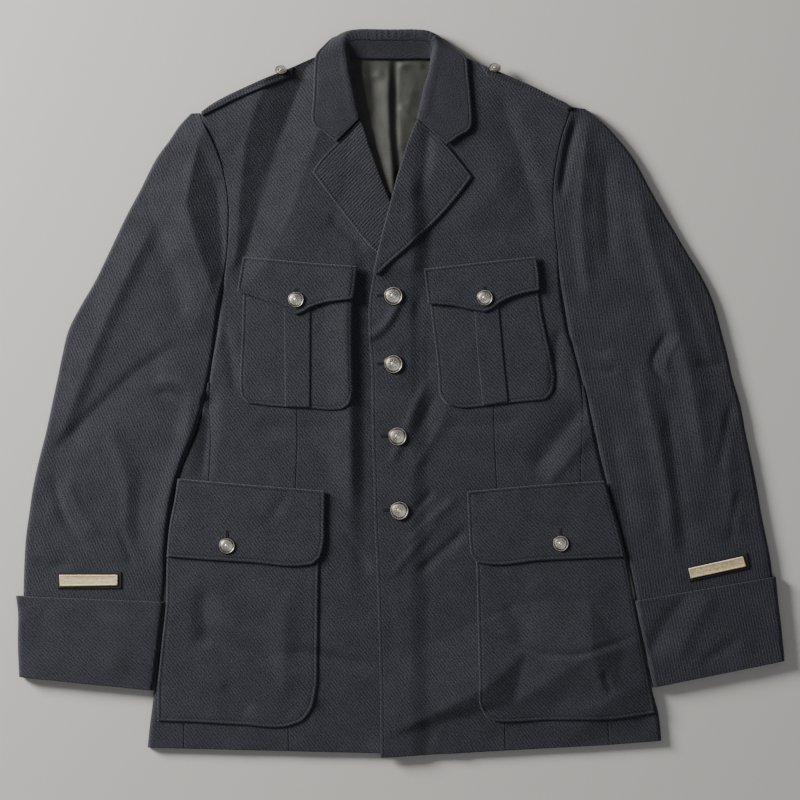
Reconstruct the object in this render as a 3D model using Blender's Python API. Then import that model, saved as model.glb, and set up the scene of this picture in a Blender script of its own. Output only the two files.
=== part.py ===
# Uniform jacket laid flat on its back, built piece by piece as it is cut and sewn.
# The tables are in millimetres, seen from above: +Y towards the collar, Z up from the floor.
# Each table is taken in the layout's own axes and moved by CENTRE, so that the origin is the
# middle of the whole outline on the floor.
import math

import bmesh
import bpy
from mathutils import Matrix, Vector

MM = 0.001
CENTRE = (0.0, -0.5)

SEAM = 0.4          # clearance between two pieces along a seam
REST = 0.3          # clearance between a piece and the one that it lies on
WALL = 2.4          # outer cloth with its canvas and lining
PATCH = 1.6         # pocket and flap cloth
LEAF = 2.2          # collar and lapel, two layers turned over
FLOOR_WALL = 2.4    # back and under sleeves, flat on the floor
EDGE_ROLL = 4.6     # radius of a folded side edge
LOFT = 7.4          # top of the front above the floor
SHOULDER_RISE = 4.6  # extra height of the padded shoulder
SLEEVE_LOFT = 8.3   # top of the sleeve at its crown
LAP = 2.9           # left front lying on the right front
LAPEL_LAP = 2.4     # left front lying on the right lapel as well

# Colours are linear RGB.
NAVY = ((0.020, 0.022, 0.031), 0.86, 0.0)
NAVY_PATCH = ((0.022, 0.024, 0.034), 0.86, 0.0)
LINING = ((0.042, 0.044, 0.032), 0.5, 0.0)
BLACK = ((0.008, 0.008, 0.009), 0.9, 0.0)
GOLD_BRAID = ((0.52, 0.40, 0.20), 0.6, 0.0)
BRASS = ((0.66, 0.58, 0.42), 0.33, 0.9)

# A row across the wearer's right front: front edge, side seam or armhole, turned-down share.
FRONT_RIGHT = [
    # in_x, in_y, out_x, out_y, turn
    (-4, -390, -233.5, -384.5, 0), (-4, -355.5, -233.5, -355.5, 0), (-4, -321, -230.5, -321, 0),
    (-4, -272.5, -225.5, -272.5, 0), (-4, -224, -220.5, -224, 0), (-4, -180.5, -216, -180.5, 0),
    (-4, -137.5, -211.5, -137.5, 0), (-4, -94, -207, -94, 0), (-4, -51, -205, -51, 0),
    (-4, -13, -207, -13, 0), (-4, 24.5, -208.5, 24.5, 1), (-4, 62, -200.2, 62, 1),
    (-4, 95, -194.6, 95, 1), (-4, 122, -190.4, 122, 0.5), (-6, 149, -187.2, 149, 0),
    (-11, 184.5, -185.2, 190, 0), (-20.3, 219, -187, 219, 0), (-31.3, 251.5, -193.5, 249, 0),
    (-40, 276, -203.5, 275, 0), (-46, 297, -213, 292, 0), (-50.5, 312, -217, 305, 1),
    (-54, 326, -205, 313.9, 1), (-58.5, 345, -170, 329.2, 1),
    (-63.5, 364, -120, 350.8, 1), (-66, 370.5, -90, 363.8, 1),
]
FRONT_LEFT = [
    (-21, -394, 226.5, -380.5, 0), (-21.5, -355.5, 223.5, -350, 0), (-22, -321, 220, -321, 0),
    (-23, -272.5, 215, -275, 0), (-24.5, -224, 210.5, -224, 0), (-26, -180.5, 205.5, -179.5, 0),
    (-28, -137.5, 200.5, -137.5, 0), (-29, -94, 195, -94, 0), (-30.5, -51, 196.5, -51, 0),
    (-31, -13, 197, -13, 0), (-31.5, 24.5, 189.7, 26.5, 1), (-34, 62, 180.4, 64, 1),
    (-34, 95, 174.9, 97, 1), (-30, 122, 171.7, 124, 0.5), (-23.5, 152, 169.5, 152, 0),
    (-12.5, 184.5, 166, 190, 0), (-2.7, 219, 165, 219, 0), (4.8, 251.5, 168, 249, 0),
    (11.5, 276, 173.5, 275, 0), (21.5, 297, 179, 292, 0), (25, 312, 183, 315, 1),
    (29, 326, 166, 322.5, 1), (34.5, 345, 138, 333.8, 1),
    (39.5, 364, 98, 350.5, 1), (42, 371, 70, 361.5, 1),
]
# A row across each side panel: seam to the front, folded side edge.
SIDE_RIGHT = [
    (-233.5, -384.5, -273.5, -383.5, 1), (-233.5, -355.5, -270.5, -355.5, 1),
    (-230.5, -321, -265.5, -321, 1), (-225.5, -272.5, -260.2, -272.5, 1),
    (-220.5, -224, -254.4, -224, 1), (-216, -180.5, -254.2, -180.5, 1),
    (-211.5, -137.5, -251, -137.5, 1), (-207, -94, -240, -94, 1), (-205, -51, -223, -51, 1),
    (-206.3, -27, -214.5, -27, 1),
]
SIDE_LEFT = [
    (226.5, -380.5, 282.5, -376, 1), (223.5, -350, 279.5, -348, 1), (220, -321, 273, -319, 1),
    (215, -275, 259.8, -275.5, 1), (210.5, -224, 251, -224, 1), (205.5, -179.5, 243.5, -178.5, 1),
    (200.5, -137.5, 234.5, -137.5, 1), (195, -94, 221, -94, 1), (196.5, -51, 209, -51, 1),
    (197, -42, 206.8, -42, 1),
]
# A row across each sleeve: body side, outer side, turned-down share of each, share of the loft.
# The rows inside the cuff turn down by half, on to the cuff's own under layer.
SLEEVE_RIGHT = [
    # in_x, in_y, out_x, out_y, turn_in, turn_out, loft
    (-269.5, -308.5, -407.5, -296.5, 0.34, 0.34, 1), (-267.6, -270, -408, -260, 0.34, 0.34, 1),
    (-262.6, -236, -408, -229, 0.34, 0.34, 1), (-261, -214, -407.8, -208, 0.34, 0.34, 1),
    (-260.5, -203, -407.4, -198, 1, 1, 1),
    (-259.5, -164.5, -405.5, -161, 1, 1, 1), (-255, -132, -402, -134, 1, 1, 1),
    (-250, -103, -397.5, -103, 1, 1, 1), (-238, -72.5, -391, -72.5, 1, 1, 1),
    (-226, -42.5, -383.5, -43.5, 1, 1, 1), (-217.5, -13, -377, -13, 1, 1, 1),
    (-212, 14, -371, 15, 1, 1, 1), (-206.5, 41, -365.5, 42, 1, 1, 1), (-201, 68, -359, 68, 1, 1, 1),
    (-195.7, 95, -346, 93.5, 1, 1, 1), (-191.2, 122, -329.5, 122, 0.5, 1, 1),
    (-187.8, 149, -316.5, 149, 0, 1, 1), (-185.8, 190, -297, 190, 0, 1, 1),
    (-187.5, 219, -281.5, 219, 0, 1, 1), (-194, 249, -265, 251.5, 0, 1, 1),
    (-204, 275, -249, 273, 0, 1, 1), (-213.6, 292, -238, 288, 0, 1, 0.9), (-219.5, 299, -232, 295.6, 0, 1, 0.6),
]
SLEEVE_LEFT = [
    (273.5, -305, 408.5, -279, 0.34, 0.34, 1), (267, -270, 406, -244, 0.34, 0.34, 1),
    (261, -240, 404, -215, 0.34, 0.34, 1), (257, -213, 402, -189, 0.34, 0.34, 1),
    (252.6, -200, 400.6, -178, 1, 1, 1), (242.5, -164.5, 396, -157, 1, 1, 1),
    (235, -132, 390.5, -130, 1, 1, 1), (225.5, -103, 386, -103, 1, 1, 1),
    (217, -72.5, 380, -72.5, 1, 1, 1), (208, -42.5, 373.5, -42.5, 1, 1, 1),
    (201, -13, 368, -13, 1, 1, 1), (194, 14, 360, 14, 1, 1, 1), (187, 41, 354, 41, 1, 1, 1),
    (180.5, 68, 347, 68, 1, 1, 1), (176, 97, 339, 97, 1, 1, 1), (172.4, 124, 327, 124, 0.5, 1, 1),
    (170, 152, 310, 152, 0, 1, 1), (166.6, 190, 287.5, 190, 0, 1, 1), (165.6, 219, 271, 219, 0, 1, 1),
    (168.6, 249, 253.5, 251.5, 0, 1, 1), (174.1, 275, 236, 274, 0, 1, 1),
    (179.6, 292, 220, 290, 0, 1, 0.9), (186.5, 307, 202, 304, 0, 1, 0.55),
]
# A row across each turned-up cuff.
CUFF_RIGHT = [
    (-268, -321.5, -412, -307), (-265, -278, -413.5, -272.5), (-260, -245.5, -413.2, -240),
    (-256.5, -225, -415.5, -219.5),
]
CUFF_LEFT = [
    (273, -318.5, 415.5, -289.5), (266.5, -283, 412, -254), (259.5, -254, 408.5, -224),
    (253.5, -224, 406, -198.5),
]
# A row across each lapel: roll line, outer edge.
LAPEL_RIGHT = [
    (-43.8, 295.7, -68.8, 269.7), (-39, 286, -81.5, 257), (-34, 269.5, -95, 238.5),
    (-27.5, 251.5, -84.5, 224.5), (-21, 233, -71.5, 207), (-14.5, 217, -58.5, 190),
    (-9, 203, -45.5, 173.5), (-3.5, 184.5, -32.5, 158.5), (0, 168, -19, 147),
]
LAPEL_LEFT = [
    (18.3, 295.7, 50.7, 266.7), (14, 286, 63.5, 251.5), (8.5, 272, 77.5, 233),
    (3, 254.5, 64.5, 215.5), (-3.5, 234, 50.5, 198.5), (-9, 212.5, 36.5, 183.5),
    (-14.5, 192, 21.5, 169.5), (-21, 167, 5, 154), (-26, 145.5, -11, 140),
    (-29.5, 129, -24, 127),
]
# A row along the collar, from the right gorge round the back neck to the left gorge.
# leaf: free edge, bend: where the leaf turns, roll: fold edge, foot: neck seam, each x, y, z.
COLLAR = [
    # leaf_x, leaf_y, leaf_z, bend_x, bend_y, bend_z, roll_x, roll_y, roll_z, foot_x, foot_y, foot_z
    (-68.8, 270.3, 11.3, -56, 283.6, 11.8, -44, 296.2, 12.2, -44, 296.2, 7.6),
    (-81.8, 280.8, 11.8, -63, 291.6, 12.5, -45, 302, 13, -45, 302, 8),
    (-95, 292, 12.4, -71, 300.2, 13.3, -46.6, 308.5, 13.8, -46.6, 308.5, 8.4),
    (-94, 319.5, 13.4, -72, 323.6, 14.3, -51, 328, 14.8, -51, 328, 8.8),
    (-93, 346.5, 14, -74, 346.6, 14.9, -55, 346.8, 15.4, -55, 346.8, 8.6),
    (-91, 364, 13.6, -74, 364.4, 15, -57.8, 364.8, 15.6, -55.6, 362.6, 7.8),
    (-81.5, 375.5, 11.4, -71.5, 376.6, 13.4, -60.2, 377.8, 15.6, -53.6, 363.2, 6.8),
    (-75.9, 380.8, 8.7, -68.7, 382.1, 11.7, -59.7, 383.2, 15.4, -51.4, 362.6, 6.5),
    (-69.5, 384, 5.6, -64.6, 386.6, 9.6, -57.6, 387.4, 15.2, -48.6, 361.8, 6.2),
    (-61.9, 382.5, 3.3, -58.7, 389.6, 6.8, -53.8, 389.6, 15, -45.9, 361.4, 6.1),
    (-53, 379, 1.6, -51, 391.4, 4.4, -48, 390.6, 14.8, -42, 361.2, 6),
    (-42.2, 374.8, 1.3, -40.8, 392.2, 3.5, -39, 391, 14.7, -35.1, 361.1, 5.9),
    (-31, 371, 1.4, -30, 392.3, 3.2, -29, 390.9, 14.6, -27, 361, 5.9),
    (-11, 369.5, 1.4, -11, 391.9, 3.2, -11, 390.6, 14.6, -11, 360.8, 5.9),
    (10, 371, 1.4, 9.5, 392, 3.2, 9, 390.9, 14.6, 7, 361, 5.9),
    (21.3, 373.9, 1.2, 20, 391.6, 3.5, 18.7, 390.6, 14.7, 14.5, 361.1, 5.9),
    (32, 377, 1.6, 29.6, 390.4, 4.4, 27, 389.8, 14.8, 20.6, 361.2, 6),
    (40.4, 379.7, 3.3, 36.9, 387.4, 6.8, 32.5, 388.2, 15, 24.5, 361.2, 6.1),
    (47.5, 380.5, 5.6, 42.6, 383.4, 9.6, 36, 385.4, 15.2, 27.2, 361.2, 6.2),
    (53.7, 376.6, 8.8, 46.5, 378.5, 11.7, 37.9, 380.6, 15.4, 29.8, 361.3, 6.5),
    (59.5, 371, 11.6, 49.4, 373, 13.4, 38.4, 374.8, 15.6, 31.8, 361.4, 6.8),
    (71.5, 360.5, 14.2, 53.6, 361.8, 15, 35.6, 363, 15.6, 33.4, 361, 7.8),
    (74, 341.5, 14, 52.8, 344, 14.9, 31.4, 346.6, 15.4, 31.4, 346.6, 8.6),
    (76.5, 317, 13.4, 51.4, 322.4, 14.3, 26, 328, 14.8, 26, 328, 8.8),
    (77, 287, 12.4, 49.4, 297.8, 13.3, 21.6, 308.5, 13.8, 21.6, 308.5, 8.4),
    (63.8, 276.8, 11.8, 41.6, 289.4, 12.5, 19.6, 302, 13, 19.6, 302, 8),
    (50.8, 267.3, 11.3, 34.6, 281.8, 11.8, 18.5, 296.2, 12.2, 18.5, 296.2, 7.6),
]
# Outlines of the pieces sewn onto the panels.
CHEST_POCKET_RIGHT = [
    (-169, 137), (-50, 129.5), (-51.5, 100), (-52, 57), (-51.5, 19), (-51, -0.5), (-54.5, -11),
    (-62, -17.5), (-70.5, -18.5), (-97.5, -17), (-124.5, -15.5), (-151.5, -13), (-164.5, -10.5),
    (-171.5, -4.5), (-173, 5), (-172.5, 35.5), (-171, 62.5), (-170, 100),
]
CHEST_PLEAT_RIGHT = [(-125.5, 122), (-97, 120), (-97.5, -13.5), (-124, -12)]
CHEST_FLAP_RIGHT = [
    (-170, 147), (-108.5, 141), (-46, 136.5), (-48, 119.5), (-50.5, 101), (-65, 99.5),
    (-81.5, 97), (-95.5, 92.5), (-105, 87), (-112.5, 84), (-123.5, 88.5), (-135.5, 95),
    (-149.5, 101), (-162.5, 105.5), (-176, 110),
]
CHEST_POCKET_LEFT = [
    (29, 127), (145.5, 137), (149, 109), (153, 84), (157.5, 62.5), (164, 33), (166.5, 14),
    (164, 1), (156.5, -7.5), (129.5, -10), (107.5, -12.5), (86, -15), (64.5, -16), (50.5, -12),
    (44, -4.5), (41, 19), (38.5, 46), (35.5, 68), (32.5, 93.5),
]
CHEST_PLEAT_LEFT = [(78, 120), (104, 122), (110.5, 46), (116, -7.5), (89, -11), (83, 46)]
CHEST_FLAP_LEFT = [
    (25.5, 133.5), (86, 140.5), (146.5, 147), (149, 132.5), (150.5, 110.5), (134.5, 107.5),
    (118.5, 102.5), (107.5, 97), (99, 90.5), (91.5, 87), (80.5, 89), (70, 91), (59, 93.5),
    (43, 95), (30, 96), (27.5, 116.5),
]
HIP_POCKET_RIGHT = [
    (-233, -112), (-84.5, -116), (-88, -186), (-89.5, -278), (-91, -321), (-96.5, -342.5),
    (-105, -353.5), (-116, -358.5), (-173, -358.5), (-216.5, -356), (-263, -354.5),
    (-258, -321), (-254.5, -278), (-249.6, -224), (-247, -180),
]
HIP_FLAP_RIGHT = [
    (-233, -93), (-225, -94), (-162.5, -99.5), (-81.5, -106), (-82, -137.5), (-83, -164.5),
    (-86.5, -177.5), (-95.5, -185), (-105, -186.5), (-162.5, -183), (-205.5, -180.5),
    (-248.6, -177.5), (-244.8, -144),
]
HIP_POCKET_LEFT = [
    (78.5, -116), (213.5, -108), (227, -137.5), (239, -180), (248, -235), (257.5, -290),
    (270.5, -346.5), (248, -350), (226.5, -352.5), (194, -353), (151, -353.5),
    (118.5, -355.5), (102.5, -354.5), (92.5, -349), (86.5, -338.5), (85, -310), (84, -267),
    (83, -224), (82, -185),
]
HIP_FLAP_LEFT = [
    (72, -106.5), (151, -99.5), (211.5, -95.6), (225, -132), (236.5, -177), (194, -179),
    (151, -181), (93.5, -185), (83, -183), (76.5, -175), (75, -164.5), (73.5, -137.5),
]
STRAP_RIGHT = [
    (-222, 305.6), (-170, 328.1), (-116, 351.5), (-117, 341.5), (-130, 336), (-172.5, 318.5),
    (-215.5, 298.5),
]
STRAP_LEFT = [
    (87, 354), (93.5, 341.5), (130.5, 326.5), (160.5, 314.5), (178.5, 307.5), (187, 314),
    (140, 334.5), (104, 348.6),
]
LINING_BACK = [(-52, 359.5), (30, 359.5), (30, 322), (26, 294.5), (14, 245), (2, 192),
               (-20, 192), (-32, 245), (-46, 294.5), (-52, 322)]
# Braid bars on the forearms: backing and braid outlines.
SERVICE_BARS = {
    "right": ([(-370.5, -193), (-301, -193.5), (-301, -211.5), (-370.5, -211.5)],
              [(-368, -196.5), (-305, -196.5), (-305, -208), (-367.5, -209)]),
    "left": ([(308, -187), (374.5, -172.5), (377.5, -189.5), (312, -204)],
             [(311, -189.5), (370, -176.5), (373.5, -187.5), (313.5, -200.5)]),
}
# Folds and pressed hollows: a line from one end to the other, its half width and its rise.
LEFT_FOLDS = [
    # from_x, from_y, to_x, to_y, half_width, rise
    (10, -345, 130, -284, 34, 3.2),
    (96, -374, 150, -362, 24, 1.4),
    (194, -22, 126, -88, 30, -1.2),
]
RIGHT_FOLDS = [
    (-104, 330, -165, 165, 34, 1.4),
    (-60, -40, -62, -90, 30, 0.8),
]
SLEEVE_FOLDS = [
    (-254, 228, -213, 130, 20, 1.5), (-232, 230, -216, 165, 16, -1.6),
    (-262, 190, -315, 60, 22, 1.3), (-215, 10, -222, -60, 20, -1.5),
    (221, 230, 222, 140, 18, -1.6), (262, 215, 292, 80, 20, 1.7),
    (289, 10, 289, -170, 20, -1.7), (352, -10, 358, -130, 20, 1.2),
]
# Buttons: x and y of the middle.
FRONT_BUTTONS = {"button_front_1": (-7.5, 104.5), "button_front_2": (-7.5, 31),
                 "button_front_3": (-3, -47), "button_front_4": (-1, -127)}
POCKET_BUTTONS = {"button_chest_right": (-112.5, 100.5), "button_chest_left": (91, 102.5),
                  "button_hip_right": (-187, -165), "button_hip_left": (173, -162.5)}
# Strap buttons look away over the shoulder: x, y, height of the back's middle, tilt.
STRAP_BUTTONS = {"button_strap_right": (-128, 350.8, 12.5, 52),
                 "button_strap_left": (102, 353.0, 12.4, 52)}
FRONT_BUTTON = 22.6
POCKET_BUTTON = 19.4
STRAP_BUTTON = 14.5
# Button section: share of the radius, height.
BUTTON_SECTION = [(0.0, 0.0), (0.8, 0.0), (1.0, 1.0), (0.94, 1.9), (0.84, 1.7), (0.6, 2.7),
                  (0.0, 3.4)]


def ease(start, end, value):
    """Smooth share from 0 at start to 1 at end."""
    share = min(1.0, max(0.0, (value - start) / (end - start)))
    return share * share * (3.0 - 2.0 * share)


def fold_height(folds, x, y):
    """Sum of the folds' rises at a point."""
    total = 0.0
    for from_x, from_y, to_x, to_y, half_width, rise in folds:
        along_x, along_y = to_x - from_x, to_y - from_y
        share = ((x - from_x) * along_x + (y - from_y) * along_y) / (along_x ** 2 + along_y ** 2)
        share = min(1.0, max(0.0, share))
        away = math.hypot(x - from_x - share * along_x, y - from_y - share * along_y)
        total += rise * math.exp(-2.2 * (away / half_width) ** 2)
    return total


def shoulder_line(x):
    """Where the fold along the shoulder lies, seen from above."""
    if x < -63.0:
        return 375.5 + 0.433 * (x + 63.0)
    if x > 39.5:
        return 375.5 - 0.397 * (x - 39.5)
    return 375.5


def body_top(x, y):
    """Top of the laid body above the floor, without its folds."""
    below = shoulder_line(x) - y
    return LOFT + SHOULDER_RISE * ease(120.0, 15.0, below)


def right_top(x, y):
    """Top of the right front."""
    return body_top(x, y) + fold_height(RIGHT_FOLDS, x, y)


def left_top(x, y):
    """Top of the left front, which lies on the right front along its edge."""
    lift = LAP + LAPEL_LAP * ease(118.0, 140.0, y)
    lift *= ease(32.0, 10.0, x) * (1.0 - ease(212.0, 250.0, y))
    return body_top(x, y) + lift + fold_height(LEFT_FOLDS, x, y)


def refine(rows, parts):
    """Rows set between the given ones on a smooth curve through them."""
    fine = []
    for i in range(len(rows) - 1):
        a, b, c, d = (rows[max(i - 1, 0)], rows[i], rows[i + 1], rows[min(i + 2, len(rows) - 1)])
        for k in range(parts):
            t = k / parts
            row = []
            for p, q, r, s in zip(a, b, c, d):
                row.append(0.5 * (2 * q + (r - p) * t + (2 * p - 5 * q + 4 * r - s) * t * t
                                  + (3 * q - p - 3 * r + s) * t ** 3))
            fine.append(tuple(row))
    fine.append(tuple(rows[-1]))
    return fine


def closed_sheet(name, outer, inner, material):
    """Solid between two grids of points of the same size, as a named object."""
    count, width = len(outer), len(outer[0])
    mesh = bmesh.new()
    top = [[mesh.verts.new(place(p)) for p in row] for row in outer]
    low = [[mesh.verts.new(place(p)) for p in row] for row in inner]
    for i in range(count - 1):
        for j in range(width - 1):
            for grid, turn in ((top, 1), (low, -1)):
                a, b = grid[i][j], grid[i + 1][j]
                c, d = grid[i + 1][j + 1], grid[i][j + 1]
                mesh.faces.new((a, b, c)[::turn])
                mesh.faces.new((a, c, d)[::turn])
    for i in range(count - 1):
        mesh.faces.new((top[i][0], low[i][0], low[i + 1][0], top[i + 1][0]))
        mesh.faces.new((top[i][-1], top[i + 1][-1], low[i + 1][-1], low[i][-1]))
    for j in range(width - 1):
        mesh.faces.new((top[0][j], top[0][j + 1], low[0][j + 1], low[0][j]))
        mesh.faces.new((top[-1][j], low[-1][j], low[-1][j + 1], top[-1][j + 1]))
    return finish(name, mesh, material)


def place(point):
    """Layout millimetres to metres about the origin."""
    x, y, z = point
    return ((x - CENTRE[0]) * MM, (y - CENTRE[1]) * MM, z * MM)


def finish(name, mesh, material, sharp=38.0):
    """Link a mesh as an object with its material, its faces outwards and shaded smooth."""
    bmesh.ops.recalc_face_normals(mesh, faces=mesh.faces)
    for face in mesh.faces:
        face.smooth = True
    for edge in mesh.edges:
        if len(edge.link_faces) == 2 and edge.calc_face_angle(0.0) > math.radians(sharp):
            edge.smooth = False
    data = bpy.data.meshes.new(name)
    mesh.to_mesh(data)
    mesh.free()
    thing = bpy.data.objects.new(name, data)
    bpy.context.collection.objects.link(thing)
    data.materials.append(cloth(material))
    return thing


def cloth(material):
    """A Principled material for a colour, roughness and metallic value, made once."""
    key = "mat_%02d" % MATERIALS.index(material)
    made = bpy.data.materials.get(key)
    if made is None:
        colour, roughness, metallic = material
        made = bpy.data.materials.new(key)
        made.use_nodes = True
        shader = made.node_tree.nodes["Principled BSDF"]
        shader.inputs["Base Color"].default_value = (*colour, 1.0)
        shader.inputs["Roughness"].default_value = roughness
        shader.inputs["Metallic"].default_value = metallic
    return made


def turned_edge(length, turn, radius):
    """Usable length and radius of a turned-down edge; a plain cut edge keeps a trace of it."""
    share = max(0.08, min(1.0, turn))
    return share, min(radius, 0.42 * length) * share


def section(start, end, turns, height, wall, radius, columns, shift):
    """Outer and inner points across one row, with either edge turned down to the floor."""
    (x0, y0), (x1, y1) = start, end
    length = math.hypot(x1 - x0, y1 - y0)
    dx, dy = (x1 - x0) / length, (y1 - y0) / length
    low, high = shift, length - shift
    layers = []
    for inset in (0.0, wall):
        points = []
        for side, edge in ((0, low), (1, high)):
            turn = turns[side]
            if turn is None:
                points.append([(edge, None)])
                continue
            share, bend = turned_edge(length, turn, radius)
            sign = 1.0 if side == 0 else -1.0
            bend_in = max(bend - inset, 0.35 * bend)
            edge_in = edge + sign * inset * share
            sweep = []
            for angle in (90.0, 45.0):
                a = math.radians(angle)
                sweep.append((edge_in + sign * bend_in * (1.0 - math.sin(a)),
                              (bend_in * (1.0 - math.cos(a)))))
            foot = (edge_in, ("foot", share))
            sweep = [foot] + sweep
            points.append(sweep if side == 0 else sweep[::-1])
        first = points[0][-1][0]
        last = points[1][0][0]
        if turns[0] is not None:
            first += 0.8 * radius * max(0.1, turns[0])
        if turns[1] is not None:
            last -= 0.8 * radius * max(0.1, turns[1])
        middle = [(first + (last - first) * k / (columns - 1), 0.0) for k in range(columns)]
        if turns[0] is None:
            points[0] = []
        if turns[1] is None:
            points[1] = []
        row = []
        for along, drop in points[0] + middle + points[1]:
            x, y = x0 + dx * along, y0 + dy * along
            top = height(x, y, along / length) - inset
            if isinstance(drop, tuple):
                share = drop[1]
                z = (top - 0.6 * share - 0.9 + 0.3 * inset) * (1.0 - share)
            else:
                z = top - (drop or 0.0)
            row.append((x, y, z))
        layers.append(row)
    return layers


def panel(name, rows, height, wall, columns, material, sides=(None, 4), radius=EDGE_ROLL,
          parts=2, loft=None):
    """Cloth wall through the rows of a table; sides name the columns of the turned-down share."""
    outer, inner = [], []
    for row in refine(rows, parts):
        turns = [None if side is None else (side if isinstance(side, float) else row[side])
                 for side in sides]
        lift = 1.0 if loft is None else row[loft]
        top, low = section(row[0:2], row[2:4], turns,
                           lambda x, y, u, k=lift: height(x, y, u) * k, wall, radius, columns,
                           SEAM / 2)
        outer.append(top)
        inner.append(low)
    closed_sheet(name, outer, inner, material)
    return outer


def inlay(name, grid, outline, lift, wall, material):
    """Cloth cut to an outline from a panel's own points, moved up by lift."""
    low = [[(x, y, z + lift) for x, y, z in row] for row in grid]
    top = [[(x, y, z + lift + wall) for x, y, z in row] for row in grid]
    piece = closed_sheet(name, top, low, material)
    mesh = bmesh.new()
    floor = [mesh.verts.new(place((x, y, -1.0))) for x, y in outline]
    roof = [mesh.verts.new(place((x, y, 40.0))) for x, y in outline]
    mesh.faces.new(floor[::-1])
    mesh.faces.new(roof)
    for k in range(len(outline)):
        n = (k + 1) % len(outline)
        mesh.faces.new((floor[k], floor[n], roof[n], roof[k]))
    cutter = finish(name + "_outline", mesh, material)
    cutter.hide_render = True
    cutter.display_type = "WIRE"
    cut = piece.modifiers.new("outline", "BOOLEAN")
    cut.operation = "INTERSECT"
    cut.solver = "EXACT"
    cut.object = cutter
    return piece


def plate(name, outline, height, lift, wall, material, step=22.0, flat_under=None):
    """Cloth cut to an outline and laid on a surface, following its height."""
    mesh = bmesh.new()
    corners = [mesh.verts.new((x, y, 0.0)) for x, y in outline]
    mesh.faces.new(corners)
    for axis in (0, 1):
        values = [p[axis] for p in outline]
        count = int((max(values) - min(values)) / step)
        for k in range(1, count + 1):
            cut = [0.0, 0.0, 0.0]
            cut[axis] = min(values) + (max(values) - min(values)) * k / (count + 1)
            normal = (1.0, 0.0, 0.0) if axis == 0 else (0.0, 1.0, 0.0)
            bmesh.ops.bisect_plane(mesh, geom=mesh.verts[:] + mesh.edges[:] + mesh.faces[:],
                                   plane_co=cut, plane_no=normal)
    bmesh.ops.triangulate(mesh, faces=mesh.faces[:])
    spots = [(v.co.x, v.co.y) for v in mesh.verts]
    mesh.verts.index_update()
    faces = [[v.index for v in f.verts] for f in mesh.faces]
    border = [[v.index for v in e.verts] for e in mesh.edges if len(e.link_faces) == 1]
    mesh.free()
    solid = bmesh.new()
    low, top = [], []
    for x, y in spots:
        under = height(x, y) + lift if flat_under is None else flat_under
        low.append(solid.verts.new(place((x, y, under))))
        top.append(solid.verts.new(place((x, y, under + wall))))
    for a, b, c in faces:
        solid.faces.new((top[a], top[b], top[c]))
        solid.faces.new((low[a], low[c], low[b]))
    for a, b in border:
        solid.faces.new((top[a], top[b], low[b], low[a]))
    return finish(name, solid, material)


def cuff(name, rows, material):
    """Turned-up cuff: a flattened tube round the end of the sleeve."""
    outer, inner = [], []
    for row in rows:
        start, end = Vector(row[0:2]), Vector(row[2:4])
        along = (end - start).normalized()
        length = (end - start).length
        for ring, inset in ((outer, 0.0), (inner, 2.0)):
            bend = 5.4 - inset
            a, b = inset, length - inset
            low, high = inset * 1.2, SLEEVE_LOFT + 2.5 - inset
            ring_row = []
            for k in range(4):
                angle = math.radians(30.0 * k)
                ring_row.append((a + bend * (1 - math.sin(angle)), high - bend * (1 - math.cos(angle))))
            ring_row = [(a + 0.9 * bend, low), (a, low + 0.9)] + ring_row[::-1]
            side = [(b - (p - a), z) for p, z in ring_row[::-1]]
            middle = [(a + bend + (b - a - 2 * bend) * k / 5, high + 0.35 * math.sin(math.pi * k / 5))
                      for k in range(1, 5)]
            floor = [(b - bend - (b - a - 2 * bend) * k / 3, low) for k in range(1, 3)]
            loop = ring_row + middle + side + floor
            ring.append([(start.x + along.x * p, start.y + along.y * p, z) for p, z in loop])
    mesh = bmesh.new()
    top = [[mesh.verts.new(place(p)) for p in row] for row in outer]
    low = [[mesh.verts.new(place(p)) for p in row] for row in inner]
    width = len(top[0])
    for i in range(len(top) - 1):
        for j in range(width):
            k = (j + 1) % width
            mesh.faces.new((top[i][j], top[i + 1][j], top[i + 1][k], top[i][k]))
            mesh.faces.new((low[i][j], low[i][k], low[i + 1][k], low[i + 1][j]))
    for j in range(width):
        k = (j + 1) % width
        mesh.faces.new((top[0][j], top[0][k], low[0][k], low[0][j]))
        mesh.faces.new((top[-1][j], low[-1][j], low[-1][k], top[-1][k]))
    return finish(name, mesh, material)


def collar(name, rows, material):
    """Collar of one piece: leaf, fold and stand, with the wall set half to each side."""
    middle = []
    for row in rows:
        leaf, bend, roll, foot = (Vector(row[k:k + 3]) for k in (0, 3, 6, 9))
        for point in (leaf, bend, roll):
            if point.y < min(350.0, shoulder_line(point.x) - 2.0):
                rest = right_top(point.x, point.y) + REST + LEAF / 2 + 0.3
                point.z = max(point.z, rest)
        away = (bend - roll).normalized() * 2.6
        down = (foot - roll).normalized() * 2.6
        turn = roll + 0.25 * (away + down)
        middle.append([leaf, leaf.lerp(bend, 0.55), bend, bend.lerp(roll, 0.5), roll + away,
                       turn, roll + down, roll.lerp(foot, 0.75), foot])
    outer, inner = [], []
    last_row, last = len(middle) - 1, len(middle[0]) - 1
    for i in range(last_row + 1):
        top_row, low_row = [], []
        for j in range(last + 1):
            run = middle[min(i + 1, last_row)][j] - middle[max(i - 1, 0)][j]
            across = middle[i][min(j + 1, last)] - middle[i][max(j - 1, 0)]
            half = across.cross(run).normalized() * LEAF / 2
            top_row.append(tuple(middle[i][j] + half))
            low_row.append(tuple(middle[i][j] - half))
        outer.append(top_row)
        inner.append(low_row)
    return closed_sheet(name, outer, inner, material)


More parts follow.
